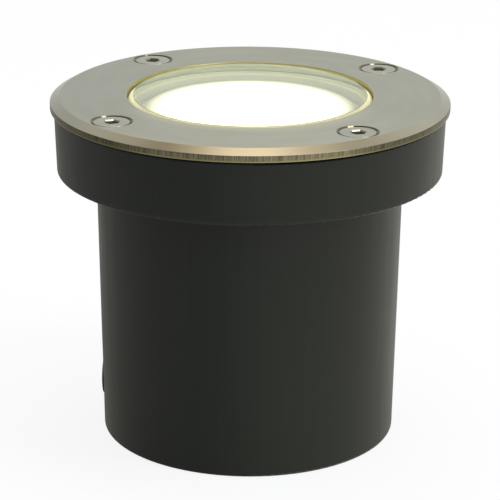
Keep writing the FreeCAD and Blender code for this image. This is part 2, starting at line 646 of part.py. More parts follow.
def led_chips():
    low = LED_BOARD_Z + LED_BOARD_THICKNESS
    chips = []
    for from_edge, count in LED_RINGS:
        place = Vector(LED_BOARD_R - from_edge, 0, 0)
        chip = block(LED_SIZE, LED_SIZE, low, low + LED_HEIGHT, place)
        chips += around(chip, even_angles(count))
    return Part.makeCompound(chips)


def lamp_driver():
    """The supply's board, with a capacitor, a choke and a regulator round its middle."""
    top = DRIVER_BOARD_Z + DRIVER_BOARD_THICKNESS
    foot = top - DRIVER_BOARD_THICKNESS / 2
    places = [at_angle(DRIVER_BOARD_R - DRIVER_PART_FROM_EDGE, angle) for angle in (144, 28, 270)]
    board = rod(DRIVER_BOARD_R - SEATING_GAP, DRIVER_BOARD_Z, top)
    capacitor = rod(CAPACITOR_DIAMETER / 2, foot, top + CAPACITOR_HEIGHT, places[0])
    choke = rod(CHOKE_DIAMETER / 2, foot, top + CHOKE_HEIGHT, places[1])
    regulator = block(REGULATOR_WIDTH, REGULATOR_LENGTH, foot, top + REGULATOR_HEIGHT, places[2])
    return fused(board, [capacitor, choke, regulator])


def lamp_pins():
    neck = PIN_NECK_DIAMETER / 2
    head = PIN_HEAD_DIAMETER / 2
    pin = revolved([
        (0, PIN_HEAD_LOW_Z),
        (head, PIN_HEAD_LOW_Z, PIN_HEAD_THICKNESS / 3),
        (head, PIN_HEAD_TOP_Z),
        (neck, PIN_HEAD_TOP_Z),
        (neck, LAMP_BACK_Z),
        (0, LAMP_BACK_Z),
    ])
    return Part.makeCompound(around(pin.translated(Vector(PIN_R, 0, 0)), PIN_ANGLES))


def keyhole(low, high):
    """A round entry for the pin's head at the twist angle, and an arc slot back to the locked place."""
    half_slot = PIN_NECK_DIAMETER / 2 + PIN_SLOT_CLEARANCE
    entry_radius = PIN_HEAD_DIAMETER / 2 + PIN_SLOT_CLEARANCE
    sector = Part.makeCylinder(PIN_R + half_slot, high - low, Vector(0, 0, low), UP, TWIST_ANGLE)
    arc_slot = sector.cut(rod(PIN_R - half_slot, low, high))
    locked_end = rod(half_slot, low, high, at_angle(PIN_R, 0))
    entry = rod(entry_radius, low, high, at_angle(PIN_R, TWIST_ANGLE))
    return arc_slot.multiFuse([locked_end, entry])


def holder_screw_place(angle):
    return at_angle(HOLDER_SCREW_R, angle)


def holder_body():
    ceiling = HOLDER_TOP_Z - HOLDER_TOP
    channel = revolved([
        (HOLDER_BORE_R, HOLDER_FOOT_Z),
        (HOLDER_BORE_R + HOLDER_WALL, HOLDER_FOOT_Z),
        (HOLDER_BORE_R + HOLDER_WALL, ceiling),
        (HOLDER_R - HOLDER_WALL, ceiling),
        (HOLDER_R - HOLDER_WALL, HOLDER_FOOT_Z),
        (HOLDER_R, HOLDER_FOOT_Z),
        (HOLDER_R, HOLDER_TOP_Z, RIM_ROUND),
        (HOLDER_BORE_R, HOLDER_TOP_Z, RIM_ROUND),
    ])
    column_r = SMALL_HEAD_DIAMETER / 2 + HOLDER_WALL
    columns = [rod(column_r, HOLDER_FOOT_Z, HOLDER_TOP_Z, holder_screw_place(angle))
               for angle in HOLDER_SCREW_ANGLES]
    rib = web(HOLDER_BORE_R + HOLDER_WALL / 2, HOLDER_R - HOLDER_WALL / 2, HOLDER_RIB,
              HOLDER_FOOT_Z, ceiling + HOLDER_TOP / 2)
    ribs = around(rib, even_angles(HOLDER_RIB_COUNT, 180.0 / HOLDER_RIB_COUNT))
    body = fused(channel, columns + ribs)
    slots = around(keyhole(ceiling, HOLDER_TOP_Z), PIN_ANGLES)
    screw_holes = [rod(SMALL_SCREW_DIAMETER / 2 + SEATING_GAP, HOLDER_FOOT_Z, HOLDER_TOP_Z,
                       holder_screw_place(angle)) for angle in HOLDER_SCREW_ANGLES]
    head_wells = [rod(SMALL_HEAD_DIAMETER / 2 + PIN_SLOT_CLEARANCE, SMALL_HEAD_SEAT_Z, HOLDER_TOP_Z,
                      holder_screw_place(angle)) for angle in HOLDER_SCREW_ANGLES]
    return body.cut(slots + screw_holes + head_wells)


def holder_cover():
    disc = tube(HOLDER_R, HOLDER_BORE_R, PLATE_TOP_Z, HOLDER_FOOT_Z)
    holes = [rod(SMALL_SCREW_DIAMETER / 2 + SEATING_GAP, PLATE_TOP_Z, HOLDER_FOOT_Z,
                 holder_screw_place(angle)) for angle in HOLDER_SCREW_ANGLES]
    return disc.cut(holes)


def holder_contacts():
    """Spring strips: a foot on the cover, a riser, and a blade just under each locked pin."""
    blade_top = PIN_HEAD_LOW_Z - PIN_SLOT_CLEARANCE
    blade_end = PIN_HEAD_DIAMETER / 2
    riser = blade_end - CONTACT_LENGTH
    foot_end = riser - CONTACT_FOOT
    side = [
        (foot_end, HOLDER_FOOT_Z),
        (riser + CONTACT_STRIP, HOLDER_FOOT_Z),
        (riser + CONTACT_STRIP, blade_top - CONTACT_STRIP),
        (blade_end, blade_top - CONTACT_STRIP),
        (blade_end, blade_top),
        (riser, blade_top),
        (riser, HOLDER_FOOT_Z + CONTACT_STRIP),
        (foot_end, HOLDER_FOOT_Z + CONTACT_STRIP),
    ]
    inner_face = PIN_R - CONTACT_WIDTH / 2
    points = [Vector(inner_face, y, z) for y, z in side]
    strip = Part.Face(Part.makePolygon(points + points[:1])).extrude(Vector(CONTACT_WIDTH, 0, 0))
    return Part.makeCompound(around(strip, PIN_ANGLES))


def pan_screw(tip_z, seat_z, place):
    shank = SMALL_SCREW_DIAMETER / 2
    head = SMALL_HEAD_DIAMETER / 2
    top = seat_z + SMALL_HEAD_HEIGHT
    blank = revolved([
        (0, tip_z),
        (shank, tip_z),
        (shank, seat_z),
        (head, seat_z),
        (head, top, SMALL_HEAD_HEIGHT / 2),
        (0, top),
    ])
    reach = head + SMALL_SLOT_WIDTH / 2
    arms = [block(reach, SMALL_SLOT_WIDTH, top - SMALL_SLOT_DEPTH, top),
            block(SMALL_SLOT_WIDTH, reach, top - SMALL_SLOT_DEPTH, top)]
    return blank.cut(arms).translated(place)


def holder_screws():
    tip = PLATE_UNDER_Z - SMALL_SCREW_REACH
    return Part.makeCompound([pan_screw(tip, SMALL_HEAD_SEAT_Z, holder_screw_place(angle))
                              for angle in HOLDER_SCREW_ANGLES])


def plate_screws():
    return Part.makeCompound([pan_screw(PLATE_SCREW_TIP_Z, PLATE_TOP_Z, post_place(angle))
                              for angle in POST_ANGLES])


def holder_plate():
    disc = rod(HOLDER_R + PLATE_MARGIN, PLATE_UNDER_Z, PLATE_TOP_Z)
    window = rod(PLATE_WINDOW_DIAMETER / 2, PLATE_UNDER_Z, PLATE_TOP_Z)
    places = [holder_screw_place(angle) for angle in HOLDER_SCREW_ANGLES]
    places += [post_place(angle) for angle in POST_ANGLES]
    holes = [rod(SMALL_SCREW_DIAMETER / 2 + SEATING_GAP, PLATE_UNDER_Z, PLATE_TOP_Z, place)
             for place in places]
    notch_foot = HOLDER_R + PLATE_MARGIN - PLATE_NOTCH_DEPTH
    notch = block(PLATE_NOTCH_WIDTH, PLATE_NOTCH_WIDTH, PLATE_UNDER_Z, PLATE_TOP_Z,
                  Vector(0, notch_foot + PLATE_NOTCH_WIDTH / 2, 0))
    notches = around(notch, even_angles(4, 45.0))
    return disc.cut([window] + holes + notches)


def gland_body():
    thread = rod(GLAND_THREAD_R, GLAND_TAIL_Z, CAN_FLOOR_Z + GLAND_INNER_REACH)
    flange = hex_prism(GLAND_HEX, GLAND_FLANGE_LOW_Z, GLAND_FLANGE_TOP_Z)
    bore = rod(GLAND_BORE_DIAMETER / 2, GLAND_TAIL_Z, CAN_FLOOR_Z + GLAND_INNER_REACH)
    return fused(thread, [flange]).cut(bore)


def gland_washer():
    return tube(GLAND_HEX / 2, GLAND_THREAD_R + THREAD_FIT, GLAND_FLANGE_TOP_Z, CAN_BOTTOM_Z)


def gland_locknut():
    nut = hex_prism(GLAND_HEX, CAN_FLOOR_Z, CAN_FLOOR_Z + GLAND_NUT_HEIGHT)
    return nut.cut(rod(GLAND_THREAD_R + THREAD_FIT, CAN_FLOOR_Z, CAN_FLOOR_Z + GLAND_NUT_HEIGHT))


def gland_seal():
    low = GLAND_CAP_FLOOR_Z
    outer = GLAND_BORE_DIAMETER / 2 - SEATING_GAP
    return revolved([
        (CABLE_BORE_DIAMETER / 2, low),
        (outer, low, GLAND_WASHER / 2),
        (outer, low + GLAND_SEAL_HEIGHT),
        (CABLE_BORE_DIAMETER / 2, low + GLAND_SEAL_HEIGHT),
    ])


def gland_cap():
    outer = GLAND_HEX / 2
    grip = hex_prism(GLAND_HEX, GLAND_CAP_TOP_Z - GLAND_CAP_SKIRT, GLAND_CAP_TOP_Z)
    dome = revolved([
        (0, GLAND_CAP_LOW_Z),
        (GLAND_BORE_DIAMETER / 2, GLAND_CAP_LOW_Z, GLAND_WASHER),
        (outer - GLAND_WASHER / 2, GLAND_CAP_TOP_Z - GLAND_CAP_SKIRT - GLAND_WASHER, GLAND_WASHER),
        (outer - GLAND_WASHER / 2, GLAND_CAP_TOP_Z),
        (0, GLAND_CAP_TOP_Z),
    ])
    chamber = rod(GLAND_THREAD_R + THREAD_FIT, GLAND_CAP_FLOOR_Z, GLAND_CAP_TOP_Z)
    mouth = rod(CABLE_BORE_DIAMETER / 2 + PIN_SLOT_CLEARANCE, GLAND_CAP_LOW_Z, GLAND_CAP_FLOOR_Z)
    return fused(dome, [grip]).cut([chamber, mouth])


def terminal_block():
    place = Vector(0, TERMINAL_Y, 0)
    body = block(TERMINAL_WIDTH, TERMINAL_DEPTH, CAN_FLOOR_Z, TERMINAL_TOP_Z, place)
    wells = []
    for offset in POLE_OFFSETS:
        centre = place + Vector(offset, 0, 0)
        wells.append(block(TERMINAL_PITCH - BARRIER, TERMINAL_DEPTH, TERMINAL_SEAT_Z,
                           TERMINAL_TOP_Z, centre))
        start = Vector(offset, TERMINAL_Y - TERMINAL_DEPTH / 2, TUNNEL_Z)
        wells.append(Part.makeCylinder(TERMINAL_TUNNEL / 2, TERMINAL_DEPTH, start, Vector(0, 1, 0)))
        for clamp in CLAMP_OFFSETS:
            wells.append(rod(TERMINAL_SCREW / 2 + SEATING_GAP, TUNNEL_Z, TERMINAL_TOP_Z,
                             centre + Vector(0, clamp, 0)))
    return body.cut(wells)


def terminal_screws():
    slot_foot = TERMINAL_SEAT_Z - SMALL_SLOT_DEPTH
    screws = []
    for offset in POLE_OFFSETS:
        for clamp in CLAMP_OFFSETS:
            place = Vector(offset, TERMINAL_Y + clamp, 0)
            stud = rod(TERMINAL_SCREW / 2, TUNNEL_Z, TERMINAL_SEAT_Z, place)
            slot = block(TERMINAL_SCREW * 2, SMALL_SLOT_WIDTH, slot_foot, TERMINAL_SEAT_Z, place)
            screws.append(stud.cut(slot))
    return Part.makeCompound(screws)


def earth_screw():
    seat = CAN_FLOOR_Z + EARTH_BOSS_HEIGHT + CONTACT_STRIP
    return pan_screw(CAN_FLOOR_Z, seat, Vector(0, -EARTH_R, 0))


def earth_tab():
    """A ring terminal under the earth screw, with its crimp barrel towards the terminal block."""
    low = CAN_FLOOR_Z + EARTH_BOSS_HEIGHT
    place = Vector(0, -EARTH_R, 0)
    eye = rod(EARTH_BOSS_DIAMETER / 2 - SEATING_GAP, low, low + CONTACT_STRIP, place)
    barrel_start = Vector(EARTH_BOSS_DIAMETER / 2 - CONTACT_STRIP, -EARTH_R, low + TERMINAL_TUNNEL / 2)
    barrel = Part.makeCylinder(TERMINAL_TUNNEL / 2, CONTACT_LENGTH, barrel_start, Vector(1, 0, 0))
    wire_way = Part.makeCylinder(TERMINAL_TUNNEL / 2 - CONTACT_STRIP, CONTACT_LENGTH, barrel_start,
                                 Vector(1, 0, 0))
    hole = rod(SMALL_SCREW_DIAMETER / 2 + SEATING_GAP, low, low + CONTACT_STRIP, place)
    return fused(eye, [barrel]).cut([wire_way, hole])


NODES = {
    "installation_sleeve": installation_sleeve,
    "cable_grommet": cable_grommet,
    "luminaire_housing": luminaire_housing,
    "threaded_inserts": threaded_inserts,
    "cover_ring": cover_ring,
    "cover_screws": cover_screws,
    "upper_gasket": upper_gasket,
    "lens_glass": lens_glass,
    "lower_gasket": lower_gasket,
    "lamp_body": lamp_body,
    "lamp_bezel": lamp_bezel,
    "lamp_diffuser": lamp_diffuser,
    "led_board": led_board,
    "led_chips": led_chips,
    "lamp_driver": lamp_driver,
    "lamp_pins": lamp_pins,
    "holder_body": holder_body,
    "holder_cover": holder_cover,
    "holder_contacts": holder_contacts,
    "holder_screws": holder_screws,
    "holder_plate": holder_plate,
    "plate_screws": plate_screws,
    "gland_body": gland_body,
    "gland_washer": gland_washer,
    "gland_locknut": gland_locknut,
    "gland_seal": gland_seal,
    "gland_cap": gland_cap,
    "terminal_block": terminal_block,
    "terminal_screws": terminal_screws,
    "earth_screw": earth_screw,
    "earth_tab": earth_tab,
}


def main():
    os.makedirs(PARTS_FOLDER, exist_ok=True)
    for name, make in NODES.items():
        shape = make()
        if not shape.isValid() or not shape.Solids:
            raise ValueError(name + " has no valid solid")
        shape.exportStep(os.path.join(PARTS_FOLDER, name + ".step"))


main()
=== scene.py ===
import math

import bmesh
import bpy
from mathutils import Matrix, Vector


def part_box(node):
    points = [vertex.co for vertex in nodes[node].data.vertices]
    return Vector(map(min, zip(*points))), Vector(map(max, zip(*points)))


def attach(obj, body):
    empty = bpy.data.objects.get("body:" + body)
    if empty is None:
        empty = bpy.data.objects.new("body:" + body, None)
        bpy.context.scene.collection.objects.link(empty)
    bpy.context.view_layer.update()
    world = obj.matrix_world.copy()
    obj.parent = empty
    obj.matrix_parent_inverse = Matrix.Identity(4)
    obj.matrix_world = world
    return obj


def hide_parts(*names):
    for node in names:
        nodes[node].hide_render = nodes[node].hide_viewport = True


# In-ground well light. Every object is in metres, in the frame's own axes: the origin is the centre
# of the sleeve's base and +Z is up. Names that end in _R are radii and names that end in _Z heights.
MM = 0.001

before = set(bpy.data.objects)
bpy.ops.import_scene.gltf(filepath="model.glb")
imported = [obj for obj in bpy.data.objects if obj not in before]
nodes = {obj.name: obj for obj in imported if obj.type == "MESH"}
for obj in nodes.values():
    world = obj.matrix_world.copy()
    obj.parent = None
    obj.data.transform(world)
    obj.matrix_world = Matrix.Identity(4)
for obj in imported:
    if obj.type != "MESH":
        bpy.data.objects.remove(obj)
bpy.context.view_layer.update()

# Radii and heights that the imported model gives
RING_LOW, RING_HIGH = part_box("cover_ring")
GLASS_LOW, GLASS_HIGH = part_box("lens_glass")
BEZEL_LOW, BEZEL_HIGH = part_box("lamp_bezel")
DIFFUSER_LOW, DIFFUSER_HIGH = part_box("lamp_diffuser")
SCREWS_LOW, SCREWS_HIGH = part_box("cover_screws")
UPPER_GASKET_LOW, UPPER_GASKET_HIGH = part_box("upper_gasket")
LOWER_GASKET_LOW, LOWER_GASKET_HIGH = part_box("lower_gasket")
RING_R = RING_HIGH.x
RING_TOP_Z = RING_HIGH.z
DECK_Z = RING_LOW.z
GLASS_R = GLASS_HIGH.x
LAMP_R = BEZEL_HIGH.x
COLLAR_TOP_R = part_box("installation_sleeve")[1].x
COLLAR_FOOT_Z = 86.3 * MM
SLEEVE_BASE_R = 46.7 * MM

# Cover ring and its screws
WINDOW_R = 38.5 * MM
RING_BEVEL_WIDTH = 3.0 * MM
RING_BEVEL_DROP = 1.7 * MM
RING_EDGE_ROUND = 0.3 * MM
BEVEL_INNER_R = RING_R - RING_BEVEL_WIDTH
SCREW_COUNT = 4
SCREW_FIRST_ANGLE = 37.9
SCREW_ANGLES = [SCREW_FIRST_ANGLE + 360 / SCREW_COUNT * k for k in range(SCREW_COUNT)]
SCREW_CIRCLE_R = 52.5 * MM
SCREW_HOLE_R = 3.3 * MM
COUNTERSINK_R = 6.55 * MM
COUNTERSINK_LIP = 0.12 * MM
SINK_REACH_R = SCREW_CIRCLE_R + COUNTERSINK_R + 2 * COUNTERSINK_LIP
SINK_FOOT_Z = RING_TOP_Z - (COUNTERSINK_R - SCREW_HOLE_R)
SCREW_PROUD = 0.18 * MM
SCREW_TOP_Z = SCREWS_HIGH.z + SCREW_PROUD
SCREW_TIP_Z = SCREWS_LOW.z
SCREW_HEAD_R = 5.6 * MM
SCREW_HEAD_EDGE = 0.45 * MM
SCREW_CORE_R = 2.45 * MM
SCREW_SHANK_R = 2.95 * MM
SCREW_PITCH = 1.0 * MM
CONE_TOP_Z = SCREW_TOP_Z - SCREW_HEAD_EDGE
CONE_FOOT_Z = CONE_TOP_Z - (SCREW_HEAD_R - SCREW_SHANK_R)
HEX_SIDES = 6
HEX_HALF_WIDTH = 2.0 * MM
HEX_DEPTH = 1.5 * MM
HEX_LEAD_IN = 0.35 * MM
DRILL_POINT_SLOPE = 0.6
SOCKET_TURNS = (90.0, 80.0, 110.0, 104.0)

# Glass and gaskets
GLASS_BOSS_R = 38.1 * MM
GLASS_SUNK = 0.05 * MM
GLASS_CHAMFER_WIDTH = 1.5 * MM
GLASS_CHAMFER_DROP = 1.3 * MM
GLASS_EDGE_BREAK = 0.4 * MM
GLASS_SHOULDER_Z = UPPER_GASKET_LOW.z
GLASS_TOP_Z = RING_TOP_Z - GLASS_SUNK
CHAMFER_TOP_R = GLASS_BOSS_R - GLASS_CHAMFER_WIDTH
CHAMFER_FOOT_Z = GLASS_TOP_Z - GLASS_CHAMFER_DROP
GASKET_LIP = 0.8 * MM
GASKET_ROUND = 0.35 * MM
CAN_INNER_R = 40.0 * MM

# Lamp face
DIFFUSER_R = 33.5 * MM
DIFFUSER_WALL = 1.5 * MM
DIFFUSER_SHOULDER = 1.8 * MM
DIFFUSER_EDGE_ROUND = 0.98 * DIFFUSER_SHOULDER
DIFFUSER_CROWN = 0.3 * MM
DIFFUSER_FADE = 8.0 * MM
CROWN_STEPS = 12
SEATING_GAP = 0.02 * MM
BEZEL_FALL = 0.6 * MM

# How finely round shapes are built
RING_SEGMENTS = 256
SCREW_SEGMENTS = 48
ROUND_STEPS = 4
ON_AXIS_R = MM / 1000
THREAD_ROWS_PER_PITCH = 10
THREAD_STEEPNESS = 1.5
SHARP_ANGLE = math.radians(38)

# Colours, as linear red, green and blue
STEEL = (0.375, 0.382, 0.305)
STEEL_LINE_DARK = (0.401, 0.410, 0.319)
STEEL_LINE_PALE = (0.415, 0.424, 0.331)
STEEL_HAZE = (0.419, 0.428, 0.334)
STEEL_WINDOW_GLOW_PAINTED = (0.55, 0.53, 0.355)
STEEL_WINDOW_WALL_LAMPLIT = (0.50, 0.46, 0.20)
STEEL_SINK_SHADE = (0.22, 0.205, 0.135)
BEVEL_PAINTED_HIGHLIGHT = (0.450, 0.398, 0.272)
BEVEL_SHADED_SIDES = (0.51, 0.50, 0.39)
EDGE_DARK = (0.155, 0.138, 0.090)
EDGE_PALE = (0.37, 0.33, 0.225)
EDGE_LIP_HIGHLIGHT = (0.43, 0.40, 0.19)
SCREW_HEAD = (0.385, 0.395, 0.31)
SCREW_SOCKET_SHADE = (0.30, 0.25, 0.145)
GLASS_CLEAR = (0.95, 0.985, 0.86)
GLASS_GROUND = (0.34, 0.35, 0.24)
GLASS_EDGE_LIGHT = (0.80, 0.86, 0.58)
GLASS_CHAMFER_LIGHT = (1.0, 0.94, 0.52)
OPAL = (0.9, 0.89, 0.82)
OPAL_SHOULDER_LIGHT = (1.0, 0.92, 0.60)
OPAL_MIDDLE_LIGHT = (1.0, 0.97, 0.80)
CHARCOAL = (0.0130, 0.0158, 0.0120)
CHARCOAL_DARK = (0.0112, 0.0140, 0.0105)
CHARCOAL_PALE = (0.0152, 0.0184, 0.0142)
CHARCOAL_RUBBED = (0.021, 0.024, 0.019)
CHARCOAL_NICKED = (0.07, 0.07, 0.065)
CAST_BARE = (0.56, 0.57, 0.55)
CAST_LACQUERED = (0.92, 0.94, 0.82)
WHITE = (1.0, 1.0, 1.0)
MIRRORED_WHITE = (1.0, 1.0, 0.87)
WARM_WHITE = (1.0, 0.88, 0.78)

# Where a noise has most of its values
NOISE_LOW = 0.3
NOISE_HIGH = 0.7

# Painted highlight, glow and shade by direction, 1 being plain: two values of round_x, round_y or off_axis,
# and the factor at each. The four at left and right are added to the bevel's factor.
FACE_SHEEN_IN_FRONT = (-1.0, -0.3, 1.09, 0.90)
FACE_SHEEN_BEHIND = (0.2, 1.0, 0.90, 0.97)
FACE_SHEEN_TO_RIGHT = 0.03
FACE_SWEEP_DARK = 0.955
FACE_SWEEP_PALE = 1.03
BEVEL_HIGHLIGHT_NEAR_FRONT = (0.05, 0.32, 0.95, 0.60)
BEVEL_HIGHLIGHT_AT_LEFT = (-0.60, -0.35, 0.77, 0.0)
BEVEL_HIGHLIGHT_FAR_LEFT = (-1.0, -0.68, -0.50, 0.0)
BEVEL_HIGHLIGHT_AT_RIGHT = (0.30, 0.76, 0.0, 0.45)
BEVEL_HIGHLIGHT_FAR_RIGHT = (0.86, 1.0, 0.0, -0.23)
EDGE_SHADE_AT_SIDES = (0.4, 0.65, 1.0, 0.52)
CHAMFER_AWAY_FROM_FRONT = (-0.6, 0.05, 0.5, 1.0)

# Ring and glass surfaces: the depth of the turned lines, how many times deeper the edge is cut, and
# roughness, added or taken away
LINE_DEPTH = 0.0011 * MM
EDGE_TIMES_DEEPER = 22.0
EDGE_DULLED = 0.12
SINK_POLISHED = 0.19
GLASS_GROUND_ROUGHNESS = 0.45

# Light given off, as strengths where 1 is white: painted glow on the glass's ground edge and chamfer, and the
# lamp's own opal face; from the foot to the top, or from the rim to the middle
GLASS_EDGE_GLOW = (0.08, 0.14)
GLASS_CHAMFER_GLOW = (0.08, 0.6)
OPAL_GLOW = (0.05, 5.4)
OPAL_FADE_POWER = 2.35

# Floor and world: two values of a direction with the strength at each, and shares and strengths where 1
# is white
LEVEL_TO_RIGHT = (-0.75, 0.3)
LEVEL_SLANT = 0.25
FLOOR_SIZE = 12.0
FLOOR_DROP = 0.02 * MM
FLOOR_COLOR = (0.88, 0.90, 0.93)
FLOOR_WHITE_SHARE = 0.78
FLOOR_WHITE_LEVEL = 1.10
FLOOR_LEFT_SHARE = 0.45
WORLD_DIFFUSE = 0.6
WORLD_LEFT_SHARE = 0.5
WORLD_TO_BACK = (-0.4, 0.15, 0.12, 1.0)
WORLD_TO_TOP = (0.4, 0.6, 0.8, 0.0)
WORLD_TO_RIGHT = (0.25, 0.8, 1.0, 0.75)

# Camera: angles in radians, lengths in metres, the sensor's width in millimetres
CAMERA_DISTANCE = 777.61 * MM
CAMERA_ELEVATION = 0.2675
CAMERA_TILT = 0.06289
CAMERA_PITCH = CAMERA_ELEVATION + CAMERA_TILT
CAMERA_YAW = -0.0047
CAMERA_ROLL = 0.00643
CAMERA_SIDE = 3.764 * MM
FOCAL_PIXELS = 2484.29
FRAME_PIXELS = 500
SENSOR_WIDTH = 36


# ---------------------------------------------------------------- mesh building

def rounded_profile(corners):
    """Points of a closed outline of (r, z) corners. A third value rounds the corner by that radius."""
    plain = [Vector((corner[0], corner[1])) for corner in corners]
    points = []
    for i, here in enumerate(plain):
        size = corners[i][2] if len(corners[i]) > 2 else 0
        if not size:
            points.append(here)
            continue
        before = (plain[i - 1] - here).normalized()
        after = (plain[(i + 1) % len(plain)] - here).normalized()
        half = before.angle(after) / 2
        centre = here + (before + after).normalized() * size / math.sin(half)
        start = here + before * size / math.tan(half) - centre
        end = here + after * size / math.tan(half) - centre
        turn = start.angle_signed(end)
        for step in range(ROUND_STEPS + 1):
            points.append(centre + Matrix.Rotation(-turn * step / ROUND_STEPS, 2) @ start)
    return points


def new_object(name, bm):
    bmesh.ops.recalc_face_normals(bm, faces=bm.faces)
    mesh = bpy.data.meshes.new(name)
    bm.to_mesh(mesh)
    bm.free()
    piece = bpy.data.objects.new(name, mesh)
    bpy.context.scene.collection.objects.link(piece)
    return piece


def discard(piece):
    mesh = piece.data
    bpy.data.objects.remove(piece)
    bpy.data.meshes.remove(mesh)


def skin_rows(bm, rows, closed):
    """Faces between rows of vertices. A row of one vertex lies on the axis."""
    following = rows[1:] + rows[:1] if closed else rows[1:]
    for low, high in zip(rows, following):
        count = max(len(low), len(high))
        if count == 1:
            continue
        for k in range(count):
            after = (k + 1) % count
            corners = [low[k % len(low)], low[after % len(low)],
                       high[after % len(high)], high[k % len(high)]]
            bm.faces.new(list(dict.fromkeys(corners)))


def skin_and_cap(bm, rows):
    skin_rows(bm, rows, closed=False)
    bm.faces.new(rows[0])
    bm.faces.new(rows[-1])


def circle_points(radius, z, segments):
    turn = 2 * math.pi / segments
    return [(radius * math.cos(turn * k), radius * math.sin(turn * k), z) for k in range(segments)]


def revolve(name, corners, segments=RING_SEGMENTS):
    """A closed solid of revolution about Z."""
    bm = bmesh.new()
    rows = []
    for radius, z in rounded_profile(corners):
        places = circle_points(radius, z, segments) if radius > ON_AXIS_R else [(0, 0, z)]
        rows.append([bm.verts.new(place) for place in places])
    skin_rows(bm, rows, closed=True)
    return new_object(name, bm)


def hex_cutter(name, levels, turn):
    """A six-sided cutter through (half width across flats, z) levels, one of its flats facing turn."""
    bm = bmesh.new()
    half_side = 180 / HEX_SIDES
    rows = []
    for half_width, z in levels:
        corner_r = half_width / math.cos(math.radians(half_side))
        rows.append([bm.verts.new(place) for place in circle_points(corner_r, z, HEX_SIDES)])
    skin_and_cap(bm, rows)
    bm.transform(Matrix.Rotation(math.radians(turn + half_side), 4, "Z"))
    return new_object(name, bm)


def joined(name, pieces):
    bm = bmesh.new()
    for piece in pieces:
        bm.from_mesh(piece.data)
        discard(piece)
    return new_object(name, bm)


def at_screws(name, pieces):
    """Four pieces that stand on the axis, moved to the four screws' places and made one object."""
    for piece, angle in zip(pieces, SCREW_ANGLES):
        turn = Matrix.Rotation(math.radians(angle), 4, "Z")
        piece.data.transform(turn @ Matrix.Translation((SCREW_CIRCLE_R, 0, 0)))
    return joined(name, pieces)


def cut_from(piece, cutter):
    modifier = piece.modifiers.new("cut", "BOOLEAN")
    modifier.object = cutter
    modifier.operation = "DIFFERENCE"
    modifier.solver = "EXACT"
    depsgraph = bpy.context.evaluated_depsgraph_get()
    carved = bpy.data.meshes.new_from_object(piece.evaluated_get(depsgraph))
    piece.modifiers.clear()
    old = piece.data
    piece.data = carved
    bpy.data.meshes.remove(old)
    discard(cutter)


# ---------------------------------------------------------------- materials

def is_socket(value):
    return isinstance(value, bpy.types.NodeSocket)


class Nodes:
    """Short calls for the nodes of one shader tree."""

    def __init__(self, tree):
        self.tree = tree

    def new(self, kind):
        return self.tree.nodes.new("ShaderNode" + kind)

    def link(self, output, target):
        self.tree.links.new(output, target)

    def fill(self, socket, value):
        """Links the socket to an output, or sets it to a number."""
        if is_socket(value):
            self.link(value, socket)
        else:
            socket.default_value = value

    def calc(self, operation, *values):
        node = self.new("Math")
        node.operation = operation
        for socket, value in zip(node.inputs, values):
            self.fill(socket, value)
        return node.outputs[0]

    def times(self, first, second):
        return self.calc("MULTIPLY", first, second)

    def plus(self, first, second):
        return self.calc("ADD", first, second)

    def minus(self, first, second):
        return self.calc("SUBTRACT", first, second)

    def larger(self, first, second):
        return self.calc("MAXIMUM", first, second)

    def split(self, vector):
        node = self.new("SeparateXYZ")
        self.link(vector, node.inputs[0])
        return node.outputs

    def combined(self, x, y, z):
        node = self.new("CombineXYZ")
        for socket, value in zip(node.inputs, (x, y, z)):
            self.fill(socket, value)
        return node.outputs[0]

    def length(self, x, y):
        return self.calc("SQRT", self.plus(self.times(x, x), self.times(y, y)))

    def noise(self, vector, scale, detail=2.0, rough=0.5):
        node = self.new("TexNoise")
        self.link(vector, node.inputs["Vector"])
        node.inputs["Scale"].default_value = scale
        node.inputs["Detail"].default_value = detail
        node.inputs["Roughness"].default_value = rough
        return node.outputs["Fac"]

    def ramp(self, value, low, high, low_value=0.0, high_value=1.0, smooth=True):
        node = self.new("MapRange")
        node.interpolation_type = "SMOOTHSTEP" if smooth else "LINEAR"
        self.link(value, node.inputs["Value"])
        node.inputs["From Min"].default_value = low
        node.inputs["From Max"].default_value = high
        node.inputs["To Min"].default_value = low_value
        node.inputs["To Max"].default_value = high_value
        return node.outputs["Result"]

    def below(self, value, low, high):
        """1 up to low, falling to 0 at high."""
        return self.ramp(value, low, high, 1.0, 0.0)

    def spread(self, noise, low_value=0.0, high_value=1.0):
        """The usual values of a noise, stretched from low_value to high_value."""
        return self.ramp(noise, NOISE_LOW, NOISE_HIGH, low_value, high_value)

    def scaled(self, color, amount):
        node = self.new("VectorMath")
        node.operation = "SCALE"
        self.link(color, node.inputs[0])
        self.link(amount, node.inputs["Scale"])
        return node.outputs[0]

    def mix(self, factor, first, second):
        node = self.new("Mix")
        node.data_type = "RGBA"
        sockets = [s for s in node.inputs if s.type == "RGBA"]
        self.link(factor, node.inputs["Factor"])
        for socket, value in zip(sockets, (first, second)):
            self.fill(socket, value if is_socket(value) else (*value, 1))
        return [s for s in node.outputs if s.type == "RGBA"][0]


